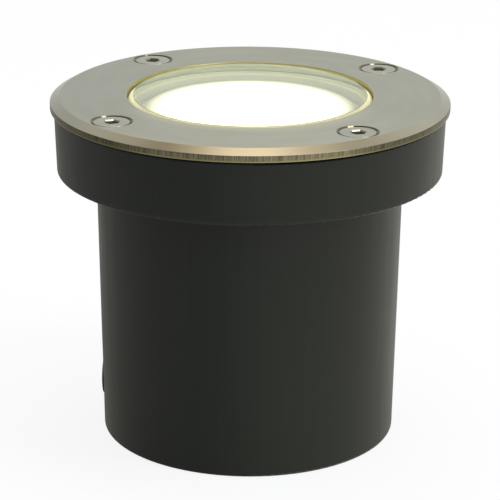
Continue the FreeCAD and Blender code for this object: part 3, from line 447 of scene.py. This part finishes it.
class Finish(Nodes):
    """A procedural material around one Principled shader, in the frame's coordinates."""

    def __init__(self, name, color, roughness, metallic=0.0):
        self.material = bpy.data.materials.new(name)
        self.material.use_nodes = True
        super().__init__(self.material.node_tree)
        self.shader = self.tree.nodes["Principled BSDF"]
        self.color = color
        self.roughness = roughness
        self.set("Base Color", (*color, 1))
        self.set("Roughness", roughness)
        self.set("Metallic", metallic)
        self.place = self.new("TexCoord").outputs["Object"]

    def set(self, socket, value):
        self.shader.inputs[socket].default_value = value

    def to_shader(self, output, socket):
        self.link(output, self.shader.inputs[socket])

    def vary_color(self, factor, amount):
        """The base colour, moved by factor (0 to 1) between darker and lighter."""
        darker = tuple(c * (1 - amount) for c in self.color)
        lighter = tuple(c * (1 + amount) for c in self.color)
        color = self.mix(factor, darker, lighter)
        self.to_shader(color, "Base Color")
        return color

    def vary_roughness(self, factor, amount):
        low = self.roughness - amount
        high = self.roughness + amount
        self.to_shader(self.ramp(factor, 0.25, 0.75, low, high), "Roughness")

    def bump(self, height, depth):
        node = self.new("Bump")
        self.link(height, node.inputs["Height"])
        node.inputs["Distance"].default_value = depth
        node.inputs["Strength"].default_value = 1.0
        self.to_shader(node.outputs[0], "Normal")

    def use_polar(self):
        """Sets radius, the distance from Z, and round_x and round_y, a unit vector round Z."""
        x, y, self.z = self.split(self.place)
        squared = self.plus(self.times(x, x), self.times(y, y))
        self.radius = self.calc("SQRT", self.larger(squared, 1e-10))
        self.round_x = self.calc("DIVIDE", x, self.radius)
        self.round_y = self.calc("DIVIDE", y, self.radius)

    def wrapped_noise(self, around, along, along_scale, detail=2.0, rough=0.5):
        """A noise wrapped round Z: around sets how fine it is by angle, along_scale by radius or height."""
        place = self.combined(self.times(self.round_x, around), self.times(self.round_y, around),
                              self.times(along, along_scale))
        return self.noise(place, 1.0, detail, rough)

    def off_axis(self):
        """0 in front and behind, 1 at the sides."""
        return self.calc("ABSOLUTE", self.round_x)

    def radial_tangent(self):
        node = self.new("Tangent")
        node.direction_type = "RADIAL"
        node.axis = "Z"
        self.to_shader(node.outputs[0], "Tangent")


def moulded_plastic(name, color, roughness, grain=900.0, depth=0.03 * MM, mottle=0.12):
    """Fine mould grain, slightly uneven colour and gloss."""
    finish = Finish(name, color, roughness)
    broad = finish.noise(finish.place, scale=45.0, detail=3.0)
    fine = finish.noise(finish.place, grain, detail=3.0, rough=0.6)
    finish.vary_color(finish.spread(broad), mottle)
    finish.vary_roughness(broad, 0.05)
    finish.bump(fine, depth)
    return finish


def die_cast_skin():
    """Blasted die-cast skin: soft flow patches and a fine pitted grain. Inside, the can is lacquered pale."""
    finish = Finish("die_cast_skin", CAST_BARE, roughness=0.42, metallic=0.7)
    finish.use_polar()
    broad = finish.noise(finish.place, scale=150.0, detail=4.0, rough=0.6)
    fine = finish.noise(finish.place, scale=1400.0, detail=3.0, rough=0.6)
    bare = finish.vary_color(finish.ramp(broad, 0.25, 0.75), 0.04)
    inside = finish.below(finish.radius, CAN_INNER_R + 0.3 * MM, CAN_INNER_R + 0.8 * MM)
    finish.to_shader(finish.mix(inside, bare, CAST_LACQUERED), "Base Color")
    finish.to_shader(finish.ramp(inside, 0.0, 1.0, 0.7, 0.22), "Metallic")
    finish.vary_roughness(broad, 0.08)
    finish.bump(fine, 0.05 * MM)
    return finish


def plated_metal(name, color, roughness):
    """Bright plating or drawn strip with faint rolling marks along X."""
    finish = Finish(name, color, roughness, metallic=1.0)
    x, y, z = finish.split(finish.place)
    stretched = finish.combined(finish.times(x, 0.08), y, z)
    marks = finish.noise(stretched, scale=2000.0)
    broad = finish.noise(finish.place, scale=125.0, detail=3.0)
    finish.vary_color(finish.spread(broad), 0.1)
    finish.vary_roughness(marks, 0.07)
    finish.bump(marks, 0.01 * MM)
    return finish


def ring_face_color(finish, lines):
    """Satin grey, with a painted sheen by direction and a painted glow beside the lit window."""
    haze = finish.noise(finish.place, scale=38.0)
    color = finish.mix(finish.ramp(lines, 0.35, 0.65), STEEL_LINE_DARK, STEEL_LINE_PALE)
    color = finish.mix(finish.spread(haze, 0.0, 0.3), color, STEEL_HAZE)
    # Painted sheen: the face is coloured brighter in front and behind than at the sides, where turned lines
    # would catch more light, and a little brighter to the right
    sheen_front_or_back = finish.larger(finish.ramp(finish.round_y, *FACE_SHEEN_IN_FRONT),
                                  finish.ramp(finish.round_y, *FACE_SHEEN_BEHIND))
    painted_sheen = finish.plus(sheen_front_or_back, finish.times(finish.round_x, FACE_SHEEN_TO_RIGHT))
    # Broad, faint sweeps left by the turning
    sweep_noise = finish.wrapped_noise(2.2, finish.radius, 230.0, detail=3.0, rough=0.55)
    sweep = finish.spread(sweep_noise, FACE_SWEEP_DARK, FACE_SWEEP_PALE)
    color = finish.scaled(color, finish.times(painted_sheen, sweep))
    # Painted glow: the nearest few millimetres of the face in front of the lit window are coloured warmer,
    # standing in for its light
    painted_window_glow = finish.times(finish.below(finish.radius, WINDOW_R, WINDOW_R + 6 * MM),
                          finish.below(finish.round_y, -0.8, -0.3))
    return finish.mix(painted_window_glow, color, STEEL_WINDOW_GLOW_PAINTED)


def ring_bevel_color(finish):
    """Painted highlight: the bevel is coloured bright narrowly in front, as if mirroring the light, and
    painted dull a third of the way to each side.
    """
    at_sides = finish.ramp(finish.off_axis(), 0.5, 0.95)
    color = finish.mix(at_sides, BEVEL_PAINTED_HIGHLIGHT, BEVEL_SHADED_SIDES)
    highlight_near_front = finish.ramp(finish.off_axis(), *BEVEL_HIGHLIGHT_NEAR_FRONT)
    highlight_to_left = finish.plus(finish.ramp(finish.round_x, *BEVEL_HIGHLIGHT_AT_LEFT),
                          finish.ramp(finish.round_x, *BEVEL_HIGHLIGHT_FAR_LEFT))
    highlight_to_right = finish.plus(finish.ramp(finish.round_x, *BEVEL_HIGHLIGHT_AT_RIGHT),
                           finish.ramp(finish.round_x, *BEVEL_HIGHLIGHT_FAR_RIGHT))
    return finish.scaled(color, finish.plus(highlight_near_front, finish.plus(highlight_to_left, highlight_to_right)))


def ring_edge_color(finish, striae):
    """The cut outer edge: close upright striations, browner and duller than the turned faces, with a painted
    highlight on its lower lip and painted shade towards the sides.
    """
    color = finish.mix(finish.ramp(striae, 0.35, 0.65), EDGE_DARK, EDGE_PALE)
    # Painted highlight: the lower lip is coloured paler and yellower
    lip_highlight = finish.below(finish.z, DECK_Z + 0.25 * MM, DECK_Z + 0.75 * MM)
    color = finish.mix(lip_highlight, color, EDGE_LIP_HIGHLIGHT)
    # Painted shade: the edge is darkened towards the sides
    return finish.scaled(color, finish.ramp(finish.off_axis(), *EDGE_SHADE_AT_SIDES))


def inside_countersinks(finish):
    """1 on the countersinks' walls, which are painted darker and browner as shade in the recess."""
    below_top = finish.below(finish.z, RING_TOP_Z - 0.10 * MM, RING_TOP_Z - 0.03 * MM)
    inside_bevel = finish.below(finish.radius, SINK_REACH_R, SINK_REACH_R + 0.1 * MM)
    outside_window = finish.ramp(finish.radius, WINDOW_R + 1.0 * MM, WINDOW_R + 1.2 * MM)
    return finish.times(below_top, finish.times(inside_bevel, outside_window))


def turned_stainless():
    """Turned stainless: fine circular lines, a broader satin haze, and a darker, cut outer edge."""
    finish = Finish("turned_stainless", STEEL, roughness=0.3, metallic=1.0)
    finish.use_polar()
    fine = finish.wrapped_noise(0.9, finish.radius, 3600.0, detail=3.0, rough=0.6)
    coarse = finish.wrapped_noise(0.5, finish.radius, 1500.0, detail=3.0, rough=0.55)
    lines = finish.times(finish.plus(fine, coarse), 0.5)
    striae = finish.wrapped_noise(230.0, finish.z, 160.0, rough=0.6)
    on_bevel = finish.ramp(finish.radius, BEVEL_INNER_R - 0.1 * MM, BEVEL_INNER_R + 0.1 * MM)
    on_window_wall = finish.below(finish.radius, WINDOW_R + 0.05 * MM, WINDOW_R + 0.2 * MM)
    in_sink = inside_countersinks(finish)
    on_edge = finish.ramp(finish.radius, RING_R - 0.12 * MM, RING_R - 0.04 * MM)
    color = finish.mix(on_bevel, ring_face_color(finish, lines), ring_bevel_color(finish))
    # Painted lamplight: the window's inner wall is coloured yellow as if lit by the lamp
    color = finish.mix(on_window_wall, color, STEEL_WINDOW_WALL_LAMPLIT)
    # Painted shade: the countersinks' walls are coloured dark brown
    color = finish.mix(in_sink, color, STEEL_SINK_SHADE)
    finish.to_shader(finish.mix(on_edge, color, ring_edge_color(finish, striae)), "Base Color")
    gloss = finish.plus(finish.spread(lines, 0.275, 0.305), finish.times(on_edge, EDGE_DULLED))
    finish.to_shader(finish.minus(gloss, finish.times(in_sink, SINK_POLISHED)), "Roughness")
    face_relief = finish.times(lines, finish.minus(1.0, on_edge))
    edge_relief = finish.times(striae, finish.times(on_edge, EDGE_TIMES_DEEPER))
    finish.bump(finish.plus(face_relief, edge_relief), LINE_DEPTH)
    finish.set("Anisotropic", 0.45)
    finish.set("Anisotropic Rotation", 0.25)
    finish.radial_tangent()
    return finish


def screw_steel():
    """Polished heads; the socket is painted browner and darker, as shade in the recess, and is duller."""
    finish = Finish("polished_screw_steel", SCREW_HEAD, roughness=0.2, metallic=1.0)
    haze = finish.noise(finish.place, scale=300.0, detail=3.0)
    marks = finish.noise(finish.place, scale=2600.0)
    height = finish.split(finish.place)[2]
    deep = finish.below(height, SCREW_TOP_Z - 0.5 * MM, SCREW_TOP_Z - 0.34 * MM)
    head_color = finish.vary_color(finish.spread(haze), 0.06)
    # Painted shade: the socket below the lead-in is coloured dark brown
    finish.to_shader(finish.mix(deep, head_color, SCREW_SOCKET_SHADE), "Base Color")
    finish.to_shader(finish.minus(1.0, finish.times(deep, 0.55)), "Metallic")
    dulled = finish.ramp(deep, 0.0, 1.0, 0.22, 0.45)
    finish.to_shader(finish.times(finish.spread(haze, 0.85, 1.0), dulled), "Roughness")
    finish.bump(marks, 0.004 * MM)
    return finish


def toughened_glass():
    """Clear toughened glass. Its chamfer and upright edge are ground, and carry a painted glow that stands in
    for the lamp's light.
    """
    finish = Finish("toughened_glass", GLASS_CLEAR, roughness=0.0)
    finish.use_polar()
    finish.set("IOR", 1.5)
    outside = finish.ramp(finish.radius, CHAMFER_TOP_R + 0.02 * MM, CHAMFER_TOP_R + 0.12 * MM)
    above_step = finish.ramp(finish.z, GLASS_SHOULDER_Z - 0.1 * MM, GLASS_SHOULDER_Z - 0.05 * MM)
    ground = finish.times(outside, above_step)
    on_chamfer = finish.ramp(finish.z, CHAMFER_FOOT_Z - 0.1 * MM, CHAMFER_FOOT_Z + 0.1 * MM)
    clouded = finish.times(ground, finish.ramp(on_chamfer, 0.0, 1.0, 0.95, 0.5))
    finish.to_shader(finish.minus(1.0, clouded), "Transmission Weight")
    finish.to_shader(finish.mix(ground, GLASS_CLEAR, GLASS_GROUND), "Base Color")
    smear = finish.noise(finish.place, scale=70.0, detail=3.0, rough=0.6)
    polish = finish.ramp(smear, 0.55, 0.8, 0.0, 0.03)
    finish.to_shader(finish.larger(polish, finish.times(ground, GLASS_GROUND_ROUGHNESS)), "Roughness")
    # Painted glow: the ground chamfer and edge give off light of their own, weaker on the chamfer in front
    finish.to_shader(finish.mix(on_chamfer, GLASS_EDGE_LIGHT, GLASS_CHAMFER_LIGHT), "Emission Color")
    edge_glow = finish.ramp(finish.z, GLASS_SHOULDER_Z, CHAMFER_FOOT_Z, *GLASS_EDGE_GLOW)
    chamfer_glow = finish.ramp(finish.z, CHAMFER_FOOT_Z, GLASS_TOP_Z - 0.5 * MM, *GLASS_CHAMFER_GLOW)
    away_from_front = finish.ramp(finish.round_y, *CHAMFER_AWAY_FROM_FRONT)
    painted_glow = finish.plus(edge_glow, finish.times(chamfer_glow, away_from_front))
    grain = finish.spread(finish.noise(finish.place, scale=1500.0), 0.85, 1.15)
    finish.to_shader(finish.times(finish.times(painted_glow, grain), ground), "Emission Strength")
    return finish


def silicone():
    finish = moulded_plastic("pale_silicone", (0.68, 0.70, 0.52), 0.45, 700.0, 0.01 * MM, mottle=0.06)
    finish.set("Subsurface Weight", 0.15)
    finish.set("Subsurface Radius", (2 * MM, 2 * MM, 1 * MM))
    return finish


def lit_diffuser():
    """Opal plastic lit from behind: white in the middle, warmer and weaker down its shoulder."""
    finish = Finish("lit_opal", OPAL, roughness=0.35)
    finish.use_polar()
    cloud = finish.noise(finish.place, scale=60.0)
    finish.vary_color(finish.spread(cloud), 0.03)
    inwards = finish.ramp(finish.radius, DIFFUSER_R - DIFFUSER_FADE, DIFFUSER_R, 1.0, 0.0, smooth=False)
    finish.to_shader(finish.mix(inwards, OPAL_SHOULDER_LIGHT, OPAL_MIDDLE_LIGHT), "Emission Color")
    faded = finish.calc("POWER", inwards, OPAL_FADE_POWER)
    finish.to_shader(finish.ramp(faded, 0.0, 1.0, *OPAL_GLOW, smooth=False), "Emission Strength")
    return finish


def glowing_chip():
    finish = Finish("phosphor", (0.95, 0.82, 0.35), roughness=0.4)
    speck = finish.noise(finish.place, scale=2200.0)
    finish.vary_color(finish.spread(speck), 0.1)
    finish.set("Emission Color", (1.0, 0.9, 0.6, 1.0))
    finish.set("Emission Strength", 2.0)
    return finish


def sleeve_plastic():
    """Charcoal moulded plastic: fine grain, faint flow lines down the wall, a few light nicks."""
    finish = Finish("charcoal_plastic", CHARCOAL, roughness=0.42)
    finish.use_polar()
    broad = finish.noise(finish.place, scale=30.0, detail=3.0)
    flow = finish.wrapped_noise(24.0, finish.z, 12.0, detail=3.0)
    grain = finish.noise(finish.place, scale=1500.0, detail=3.0, rough=0.6)
    tone = finish.times(finish.plus(broad, flow), 0.5)
    color = finish.mix(finish.spread(tone), CHARCOAL_DARK, CHARCOAL_PALE)
    # The foot of the collar's skirt is rubbed paler, and has a few nicks
    on_skirt = finish.ramp(finish.radius, COLLAR_TOP_R - 3.0 * MM, COLLAR_TOP_R - 2.0 * MM)
    at_foot = finish.below(finish.z, COLLAR_FOOT_Z + 0.3 * MM, COLLAR_FOOT_Z + 1.6 * MM)
    near_foot = finish.below(finish.z, COLLAR_FOOT_Z + 2.5 * MM, COLLAR_FOOT_Z + 4.0 * MM)
    nicks = finish.ramp(finish.wrapped_noise(40.0, finish.z, 260.0, detail=1.0), 0.70, 0.76, 0.0, 0.3)
    nicked = finish.times(nicks, finish.times(near_foot, on_skirt))
    color = finish.mix(finish.times(at_foot, on_skirt), color, CHARCOAL_RUBBED)
    finish.to_shader(finish.mix(nicked, color, CHARCOAL_NICKED), "Base Color")
    finish.vary_roughness(tone, 0.05)
    finish.bump(grain, 0.02 * MM)
    finish.set("Specular IOR Level", 0.35)
    return finish


def circuit_board(name, color, copper):
    """Solder mask over faint tracks."""
    finish = Finish(name, color, roughness=0.35)
    cells = finish.new("TexVoronoi")
    cells.feature = "DISTANCE_TO_EDGE"
    finish.link(finish.place, cells.inputs["Vector"])
    cells.inputs["Scale"].default_value = 260.0
    track = finish.below(cells.outputs["Distance"], 0.03, 0.06)
    finish.to_shader(finish.mix(finish.times(track, 0.35), color, copper), "Base Color")
    finish.vary_roughness(finish.noise(finish.place, scale=400.0), 0.06)
    finish.bump(track, 0.03 * MM)
    return finish


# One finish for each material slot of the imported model
FINISHES = {
    "sleeve_plastic": sleeve_plastic(),
    "black_rubber": moulded_plastic("black_rubber_skin", (0.012, 0.012, 0.011), 0.6, 700.0),
    "stainless": turned_stainless(),
    "screw_steel": screw_steel(),
    "clear_glass": toughened_glass(),
    "silicone": silicone(),
    "cast_aluminium": die_cast_skin(),
    "insert_brass": plated_metal("turned_brass", (0.66, 0.47, 0.19), 0.26),
    "lamp_plastic": moulded_plastic("satin_white_lamp", (0.70, 0.70, 0.64), 0.38, 900.0, 0.01 * MM),
    "bezel_plastic": moulded_plastic("satin_grey_bezel", (0.75, 0.76, 0.65), 0.4, 800.0, 0.01 * MM, 0.06),
    "opal_diffuser": lit_diffuser(),
    "board": circuit_board("white_board", (0.78, 0.79, 0.74), (0.62, 0.60, 0.48)),
    "led": glowing_chip(),
    "driver_board": circuit_board("green_board", (0.03, 0.16, 0.07), (0.10, 0.30, 0.12)),
    "holder_plastic": moulded_plastic("heatproof_holder", (0.72, 0.70, 0.61), 0.45),
    "contact_bronze": plated_metal("spring_bronze", (0.66, 0.45, 0.20), 0.3),
    "zinc_steel": plated_metal("zinc_plate", (0.50, 0.52, 0.52), 0.32),
    "gland_plastic": moulded_plastic("black_nylon", (0.016, 0.016, 0.016), 0.38, 800.0),
    "terminal_plastic": moulded_plastic("ivory_terminal", (0.74, 0.70, 0.56), 0.42),
}
for node in nodes.values():
    for material_slot in node.material_slots:
        slot_name = material_slot.material.name.split(".")[0]
        material_slot.material = FINISHES[slot_name].material


# ---------------------------------------------------------------- pieces that stand for CAD nodes

def finished(piece, slot, body, replaced):
    """Smooth shading with sharp creases, the slot's finish, and the piece's place in the model."""
    piece.data.materials.clear()
    piece.data.materials.append(FINISHES[slot].material)
    piece.data.shade_smooth()
    piece.data.set_sharp_from_angle(angle=SHARP_ANGLE)
    weighted = piece.modifiers.new("weighted_normals", "WEIGHTED_NORMAL")
    weighted.keep_sharp = True
    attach(piece, body)
    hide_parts(replaced)


def countersink_cutter(name):
    return revolve(name, [
        (0, DECK_Z - MM),
        (SCREW_HOLE_R + COUNTERSINK_LIP, DECK_Z - MM),
        (SCREW_HOLE_R + COUNTERSINK_LIP, DECK_Z),
        (SCREW_HOLE_R, DECK_Z + COUNTERSINK_LIP),
        (SCREW_HOLE_R, SINK_FOOT_Z),
        (COUNTERSINK_R - COUNTERSINK_LIP, RING_TOP_Z - COUNTERSINK_LIP),
        (COUNTERSINK_R + COUNTERSINK_LIP, RING_TOP_Z),
        (COUNTERSINK_R + COUNTERSINK_LIP, RING_TOP_Z + MM),
        (0, RING_TOP_Z + MM),
    ], SCREW_SEGMENTS)


def cover_ring():
    plate = revolve("stainless_cover_ring", [
        (WINDOW_R, DECK_Z, RING_EDGE_ROUND),
        (RING_R, DECK_Z, RING_EDGE_ROUND),
        (RING_R, RING_TOP_Z - RING_BEVEL_DROP, RING_EDGE_ROUND),
        (BEVEL_INNER_R, RING_TOP_Z, RING_EDGE_ROUND),
        (WINDOW_R, RING_TOP_Z, RING_EDGE_ROUND),
    ])
    cutters = [countersink_cutter(f"countersink_{k}") for k in range(SCREW_COUNT)]
    cut_from(plate, at_screws("countersinks", cutters))
    finished(plate, "stainless", "cover", "cover_ring")


def screw_thread(name):
    """A closed shank whose surface rises and falls in one helix, fading out at both ends."""
    bm = bmesh.new()
    low = SCREW_TIP_Z
    high = CONE_FOOT_Z
    count = int((high - low) / SCREW_PITCH * THREAD_ROWS_PER_PITCH)
    rows = []
    for row in range(count + 1):
        z = low + (high - low) * row / count
        fade = max(0, min(1, (z - low) / SCREW_PITCH, (high - z) / SCREW_PITCH))
        places = []
        for k in range(SCREW_SEGMENTS):
            turn = k / SCREW_SEGMENTS
            phase = (z / SCREW_PITCH - turn) % 1
            tooth = 1 - abs(2 * phase - 1)
            crest = min(1, max(0, tooth * THREAD_STEEPNESS - (THREAD_STEEPNESS - 1) / 2))
            radius = SCREW_CORE_R + (SCREW_SHANK_R - SCREW_CORE_R) * crest * fade
            places.append((radius * math.cos(2 * math.pi * turn), radius * math.sin(2 * math.pi * turn), z))
        rows.append([bm.verts.new(place) for place in places])
    skin_and_cap(bm, rows)
    return new_object(name, bm)


def countersunk_screw(name, socket_turn):
    head = revolve(name + "_head", [
        (0, CONE_FOOT_Z - MM / 4),
        (SCREW_CORE_R, CONE_FOOT_Z - MM / 4),
        (SCREW_SHANK_R, CONE_FOOT_Z),
        (SCREW_HEAD_R, CONE_TOP_Z, SCREW_HEAD_EDGE / 4),
        (SCREW_HEAD_R, SCREW_TOP_Z, SCREW_HEAD_EDGE / 2),
        (0, SCREW_TOP_Z),
    ], SCREW_SEGMENTS)
    socket_floor = SCREW_TOP_Z - HEX_DEPTH
    cut_from(head, hex_cutter("socket", [
        (HEX_HALF_WIDTH, socket_floor),
        (HEX_HALF_WIDTH, SCREW_TOP_Z - HEX_LEAD_IN),
        (HEX_HALF_WIDTH + HEX_LEAD_IN, SCREW_TOP_Z),
        (HEX_HALF_WIDTH + HEX_LEAD_IN + MM, SCREW_TOP_Z + MM),
    ], socket_turn))
    cut_from(head, revolve("drill_point", [
        (0, socket_floor - HEX_HALF_WIDTH * DRILL_POINT_SLOPE),
        (HEX_HALF_WIDTH, socket_floor),
        (HEX_HALF_WIDTH, socket_floor + MM / 2),
        (0, socket_floor + MM / 2),
    ], SCREW_SEGMENTS))
    return joined(name, [head, screw_thread(name + "_thread")])


def cover_screws():
    screws = []
    for number, angle in enumerate(SCREW_ANGLES):
        screws.append(countersunk_screw(f"screw_{number}", SOCKET_TURNS[number] - angle))
    finished(at_screws("hex_socket_screws", screws), "screw_steel", "cover", "cover_screws")


def lens_glass():
    glass = revolve("stepped_lens", [
        (0, GLASS_LOW.z),
        (GLASS_R, GLASS_LOW.z, GLASS_EDGE_BREAK),
        (GLASS_R, GLASS_SHOULDER_Z, GLASS_EDGE_BREAK),
        (GLASS_BOSS_R, GLASS_SHOULDER_Z, GLASS_EDGE_BREAK / 2),
        (GLASS_BOSS_R, CHAMFER_FOOT_Z, GLASS_EDGE_BREAK / 2),
        (CHAMFER_TOP_R, GLASS_TOP_Z, GLASS_EDGE_BREAK / 2),
        (0, GLASS_TOP_Z),
    ])
    finished(glass, "clear_glass", "cover", "lens_glass")


def gasket(name, inner, low, high, replaced):
    ring = revolve(name, [
        (inner, low, GASKET_ROUND),
        (GLASS_R, low, GASKET_ROUND),
        (GLASS_R, high, GASKET_ROUND),
        (inner, high, GASKET_ROUND),
    ])
    finished(ring, "silicone", "cover", replaced)


def lamp_diffuser():
    """A cup with a slightly domed face and a flange at its foot."""
    edge_z = DIFFUSER_HIGH.z - DIFFUSER_CROWN
    flange_r = DIFFUSER_HIGH.x
    flange_top_z = BEZEL_LOW.z
    seat_z = DIFFUSER_LOW.z
    inner_r = DIFFUSER_R - DIFFUSER_WALL
    crown_r = DIFFUSER_R - DIFFUSER_SHOULDER
    crown = []
    for step in range(CROWN_STEPS):
        share = step / CROWN_STEPS
        crown.append((crown_r * share, edge_z + DIFFUSER_CROWN * (1 - share * share)))
    cup = revolve("opal_diffuser", crown + [
        (DIFFUSER_R, edge_z, DIFFUSER_EDGE_ROUND),
        (DIFFUSER_R, flange_top_z, GASKET_ROUND),
        (flange_r, flange_top_z, GASKET_ROUND / 2),
        (flange_r, seat_z, GASKET_ROUND / 2),
        (inner_r, seat_z, GASKET_ROUND / 2),
        (inner_r, edge_z - DIFFUSER_WALL, DIFFUSER_SHOULDER / 2),
        (0, edge_z - DIFFUSER_WALL),
    ])
    finished(cup, "opal_diffuser", "lamp", "lamp_diffuser")


def lamp_bezel():
    inner = DIFFUSER_R + SEATING_GAP
    ring = revolve("lamp_rim", [
        (inner, BEZEL_LOW.z, RING_EDGE_ROUND / 2),
        (LAMP_R, BEZEL_LOW.z, RING_EDGE_ROUND / 2),
        (LAMP_R, BEZEL_HIGH.z - BEZEL_FALL, BEZEL_FALL),
        (inner, BEZEL_HIGH.z, RING_EDGE_ROUND),
    ])
    finished(ring, "bezel_plastic", "lamp", "lamp_bezel")


cover_ring()
cover_screws()
lens_glass()
gasket("ring_gasket", WINDOW_R + GASKET_LIP, UPPER_GASKET_LOW.z, UPPER_GASKET_HIGH.z, "upper_gasket")
gasket("seat_gasket", CAN_INNER_R + GASKET_LIP, LOWER_GASKET_LOW.z, LOWER_GASKET_HIGH.z, "lower_gasket")
lamp_diffuser()
lamp_bezel()


# ---------------------------------------------------------------- studio

def share_towards_right(graph, x, y, left_share):
    """1 in the level direction +X, falling to left_share towards -X, and a little sooner in front."""
    slanted = graph.plus(x, graph.times(y, LEVEL_SLANT))
    level = graph.calc("DIVIDE", slanted, graph.larger(graph.length(x, y), 0.001))
    return graph.ramp(level, *LEVEL_TO_RIGHT, left_share, 1.0)


def floor_material():
    """White where it is seen, with a share of plain matt white in it that keeps the soft shadow."""
    material = bpy.data.materials.new("white_floor")
    material.use_nodes = True
    graph = Nodes(material.node_tree)
    graph.tree.nodes.clear()
    path = graph.new("LightPath").outputs
    diffuse = graph.new("BsdfDiffuse")
    diffuse.inputs["Color"].default_value = (*FLOOR_COLOR, 1)
    x, y = graph.split(graph.new("TexCoord").outputs["Object"])[:2]
    mirrored = graph.times(path["Is Glossy Ray"], share_towards_right(graph, x, y, FLOOR_LEFT_SHARE))
    straight = graph.larger(path["Is Camera Ray"], path["Is Transmission Ray"])
    straight = graph.times(straight, FLOOR_WHITE_LEVEL)
    white = graph.new("Emission")
    graph.link(graph.larger(straight, mirrored), white.inputs["Strength"])
    graph.link(graph.mix(path["Is Glossy Ray"], WHITE, MIRRORED_WHITE), white.inputs["Color"])
    seen = graph.larger(path["Is Glossy Ray"], path["Is Camera Ray"])
    seen = graph.larger(seen, path["Is Transmission Ray"])
    uncovered = graph.ramp(graph.length(x, y), SLEEVE_BASE_R - 3 * MM, SLEEVE_BASE_R - 1 * MM)
    mixed = graph.new("MixShader")
    graph.link(graph.times(graph.times(seen, uncovered), FLOOR_WHITE_SHARE), mixed.inputs[0])
    graph.link(diffuse.outputs[0], mixed.inputs[1])
    graph.link(white.outputs[0], mixed.inputs[2])
    graph.link(mixed.outputs[0], graph.new("OutputMaterial").inputs[0])
    return material


def floor_plane():
    bm = bmesh.new()
    half = FLOOR_SIZE / 2
    corners = [(-half, -half, 0), (half, -half, 0), (half, half, 0), (-half, half, 0)]
    bm.faces.new([bm.verts.new(corner) for corner in corners])
    plane = new_object("floor", bm)
    plane.data.materials.append(floor_material())
    plane.location.z = -FLOOR_DROP
    return plane


def studio_world():
    """White where it is seen or looked through. Mirrored, it is dimmer high up in front and at the sides."""
    world = bpy.data.worlds.new("studio")
    bpy.context.scene.world = world
    world.use_nodes = True
    graph = Nodes(world.node_tree)
    graph.tree.nodes.clear()
    path = graph.new("LightPath").outputs
    x, y, z = graph.split(graph.new("TexCoord").outputs["Generated"])
    front = graph.larger(graph.ramp(y, *WORLD_TO_BACK), graph.ramp(z, *WORLD_TO_TOP))
    sides = graph.times(graph.ramp(x, *WORLD_TO_RIGHT), share_towards_right(graph, x, y, WORLD_LEFT_SHARE))
    mirrored = graph.times(path["Is Glossy Ray"], graph.times(front, sides))
    straight = graph.larger(path["Is Camera Ray"], path["Is Transmission Ray"])
    matt = graph.times(path["Is Diffuse Ray"], WORLD_DIFFUSE)
    background = graph.new("Background")
    graph.link(graph.larger(graph.larger(straight, mirrored), matt), background.inputs["Strength"])
    graph.link(background.outputs[0], graph.new("OutputWorld").inputs[0])


def area_lamp(name, place, target, size, power, color=WHITE):
    lamp = bpy.data.lights.new(name, "AREA")
    lamp.shape = "DISK"
    lamp.size = size
    lamp.energy = power
    lamp.color = color
    holder = bpy.data.objects.new(name, lamp)
    holder.location = place
    aim = Vector(target) - Vector(place)
    holder.rotation_euler = aim.to_track_quat("-Z", "Y").to_euler()
    bpy.context.scene.collection.objects.link(holder)


def camera():
    """The photograph's camera: 0.78 m away, 19 degrees down, with a long lens."""
    data = bpy.data.cameras.new("photo_camera")
    data.sensor_width = SENSOR_WIDTH
    data.lens = FOCAL_PIXELS / FRAME_PIXELS * data.sensor_width
    data.clip_start = 0.05
    data.clip_end = 50
    flat = math.cos(CAMERA_PITCH)
    forward = Vector((flat * math.sin(CAMERA_YAW), flat * math.cos(CAMERA_YAW), -math.sin(CAMERA_PITCH)))
    level = forward.cross(Vector((0, 0, 1))).normalized()
    upright = level.cross(forward)
    right = level * math.cos(CAMERA_ROLL) + upright * math.sin(CAMERA_ROLL)
    up = upright * math.cos(CAMERA_ROLL) - level * math.sin(CAMERA_ROLL)
    place = Vector((CAMERA_SIDE, -CAMERA_DISTANCE * math.cos(CAMERA_ELEVATION),
                    RING_TOP_Z + CAMERA_DISTANCE * math.sin(CAMERA_ELEVATION)))
    holder = bpy.data.objects.new("photo_camera", data)
    bpy.context.scene.collection.objects.link(holder)
    axes = Matrix((right, up, -forward)).transposed().to_4x4()
    holder.matrix_world = Matrix.Translation(place) @ axes
    bpy.context.scene.camera = holder


floor = floor_plane()
studio_world()
area_lamp("overhead", place=(0, 0.30, 1.15), target=(0, 0, 0.1), size=0.72, power=2.0, color=WARM_WHITE)
area_lamp("key", place=(0.50, -0.20, 1.10), target=(0, 0, 0.1), size=0.42, power=2.2)
area_lamp("right_fill", place=(1.1, -0.5, 0.7), target=(0, 0, 0.06), size=0.5, power=1.6)
camera()
bpy.context.scene.view_settings.view_transform = "Standard"
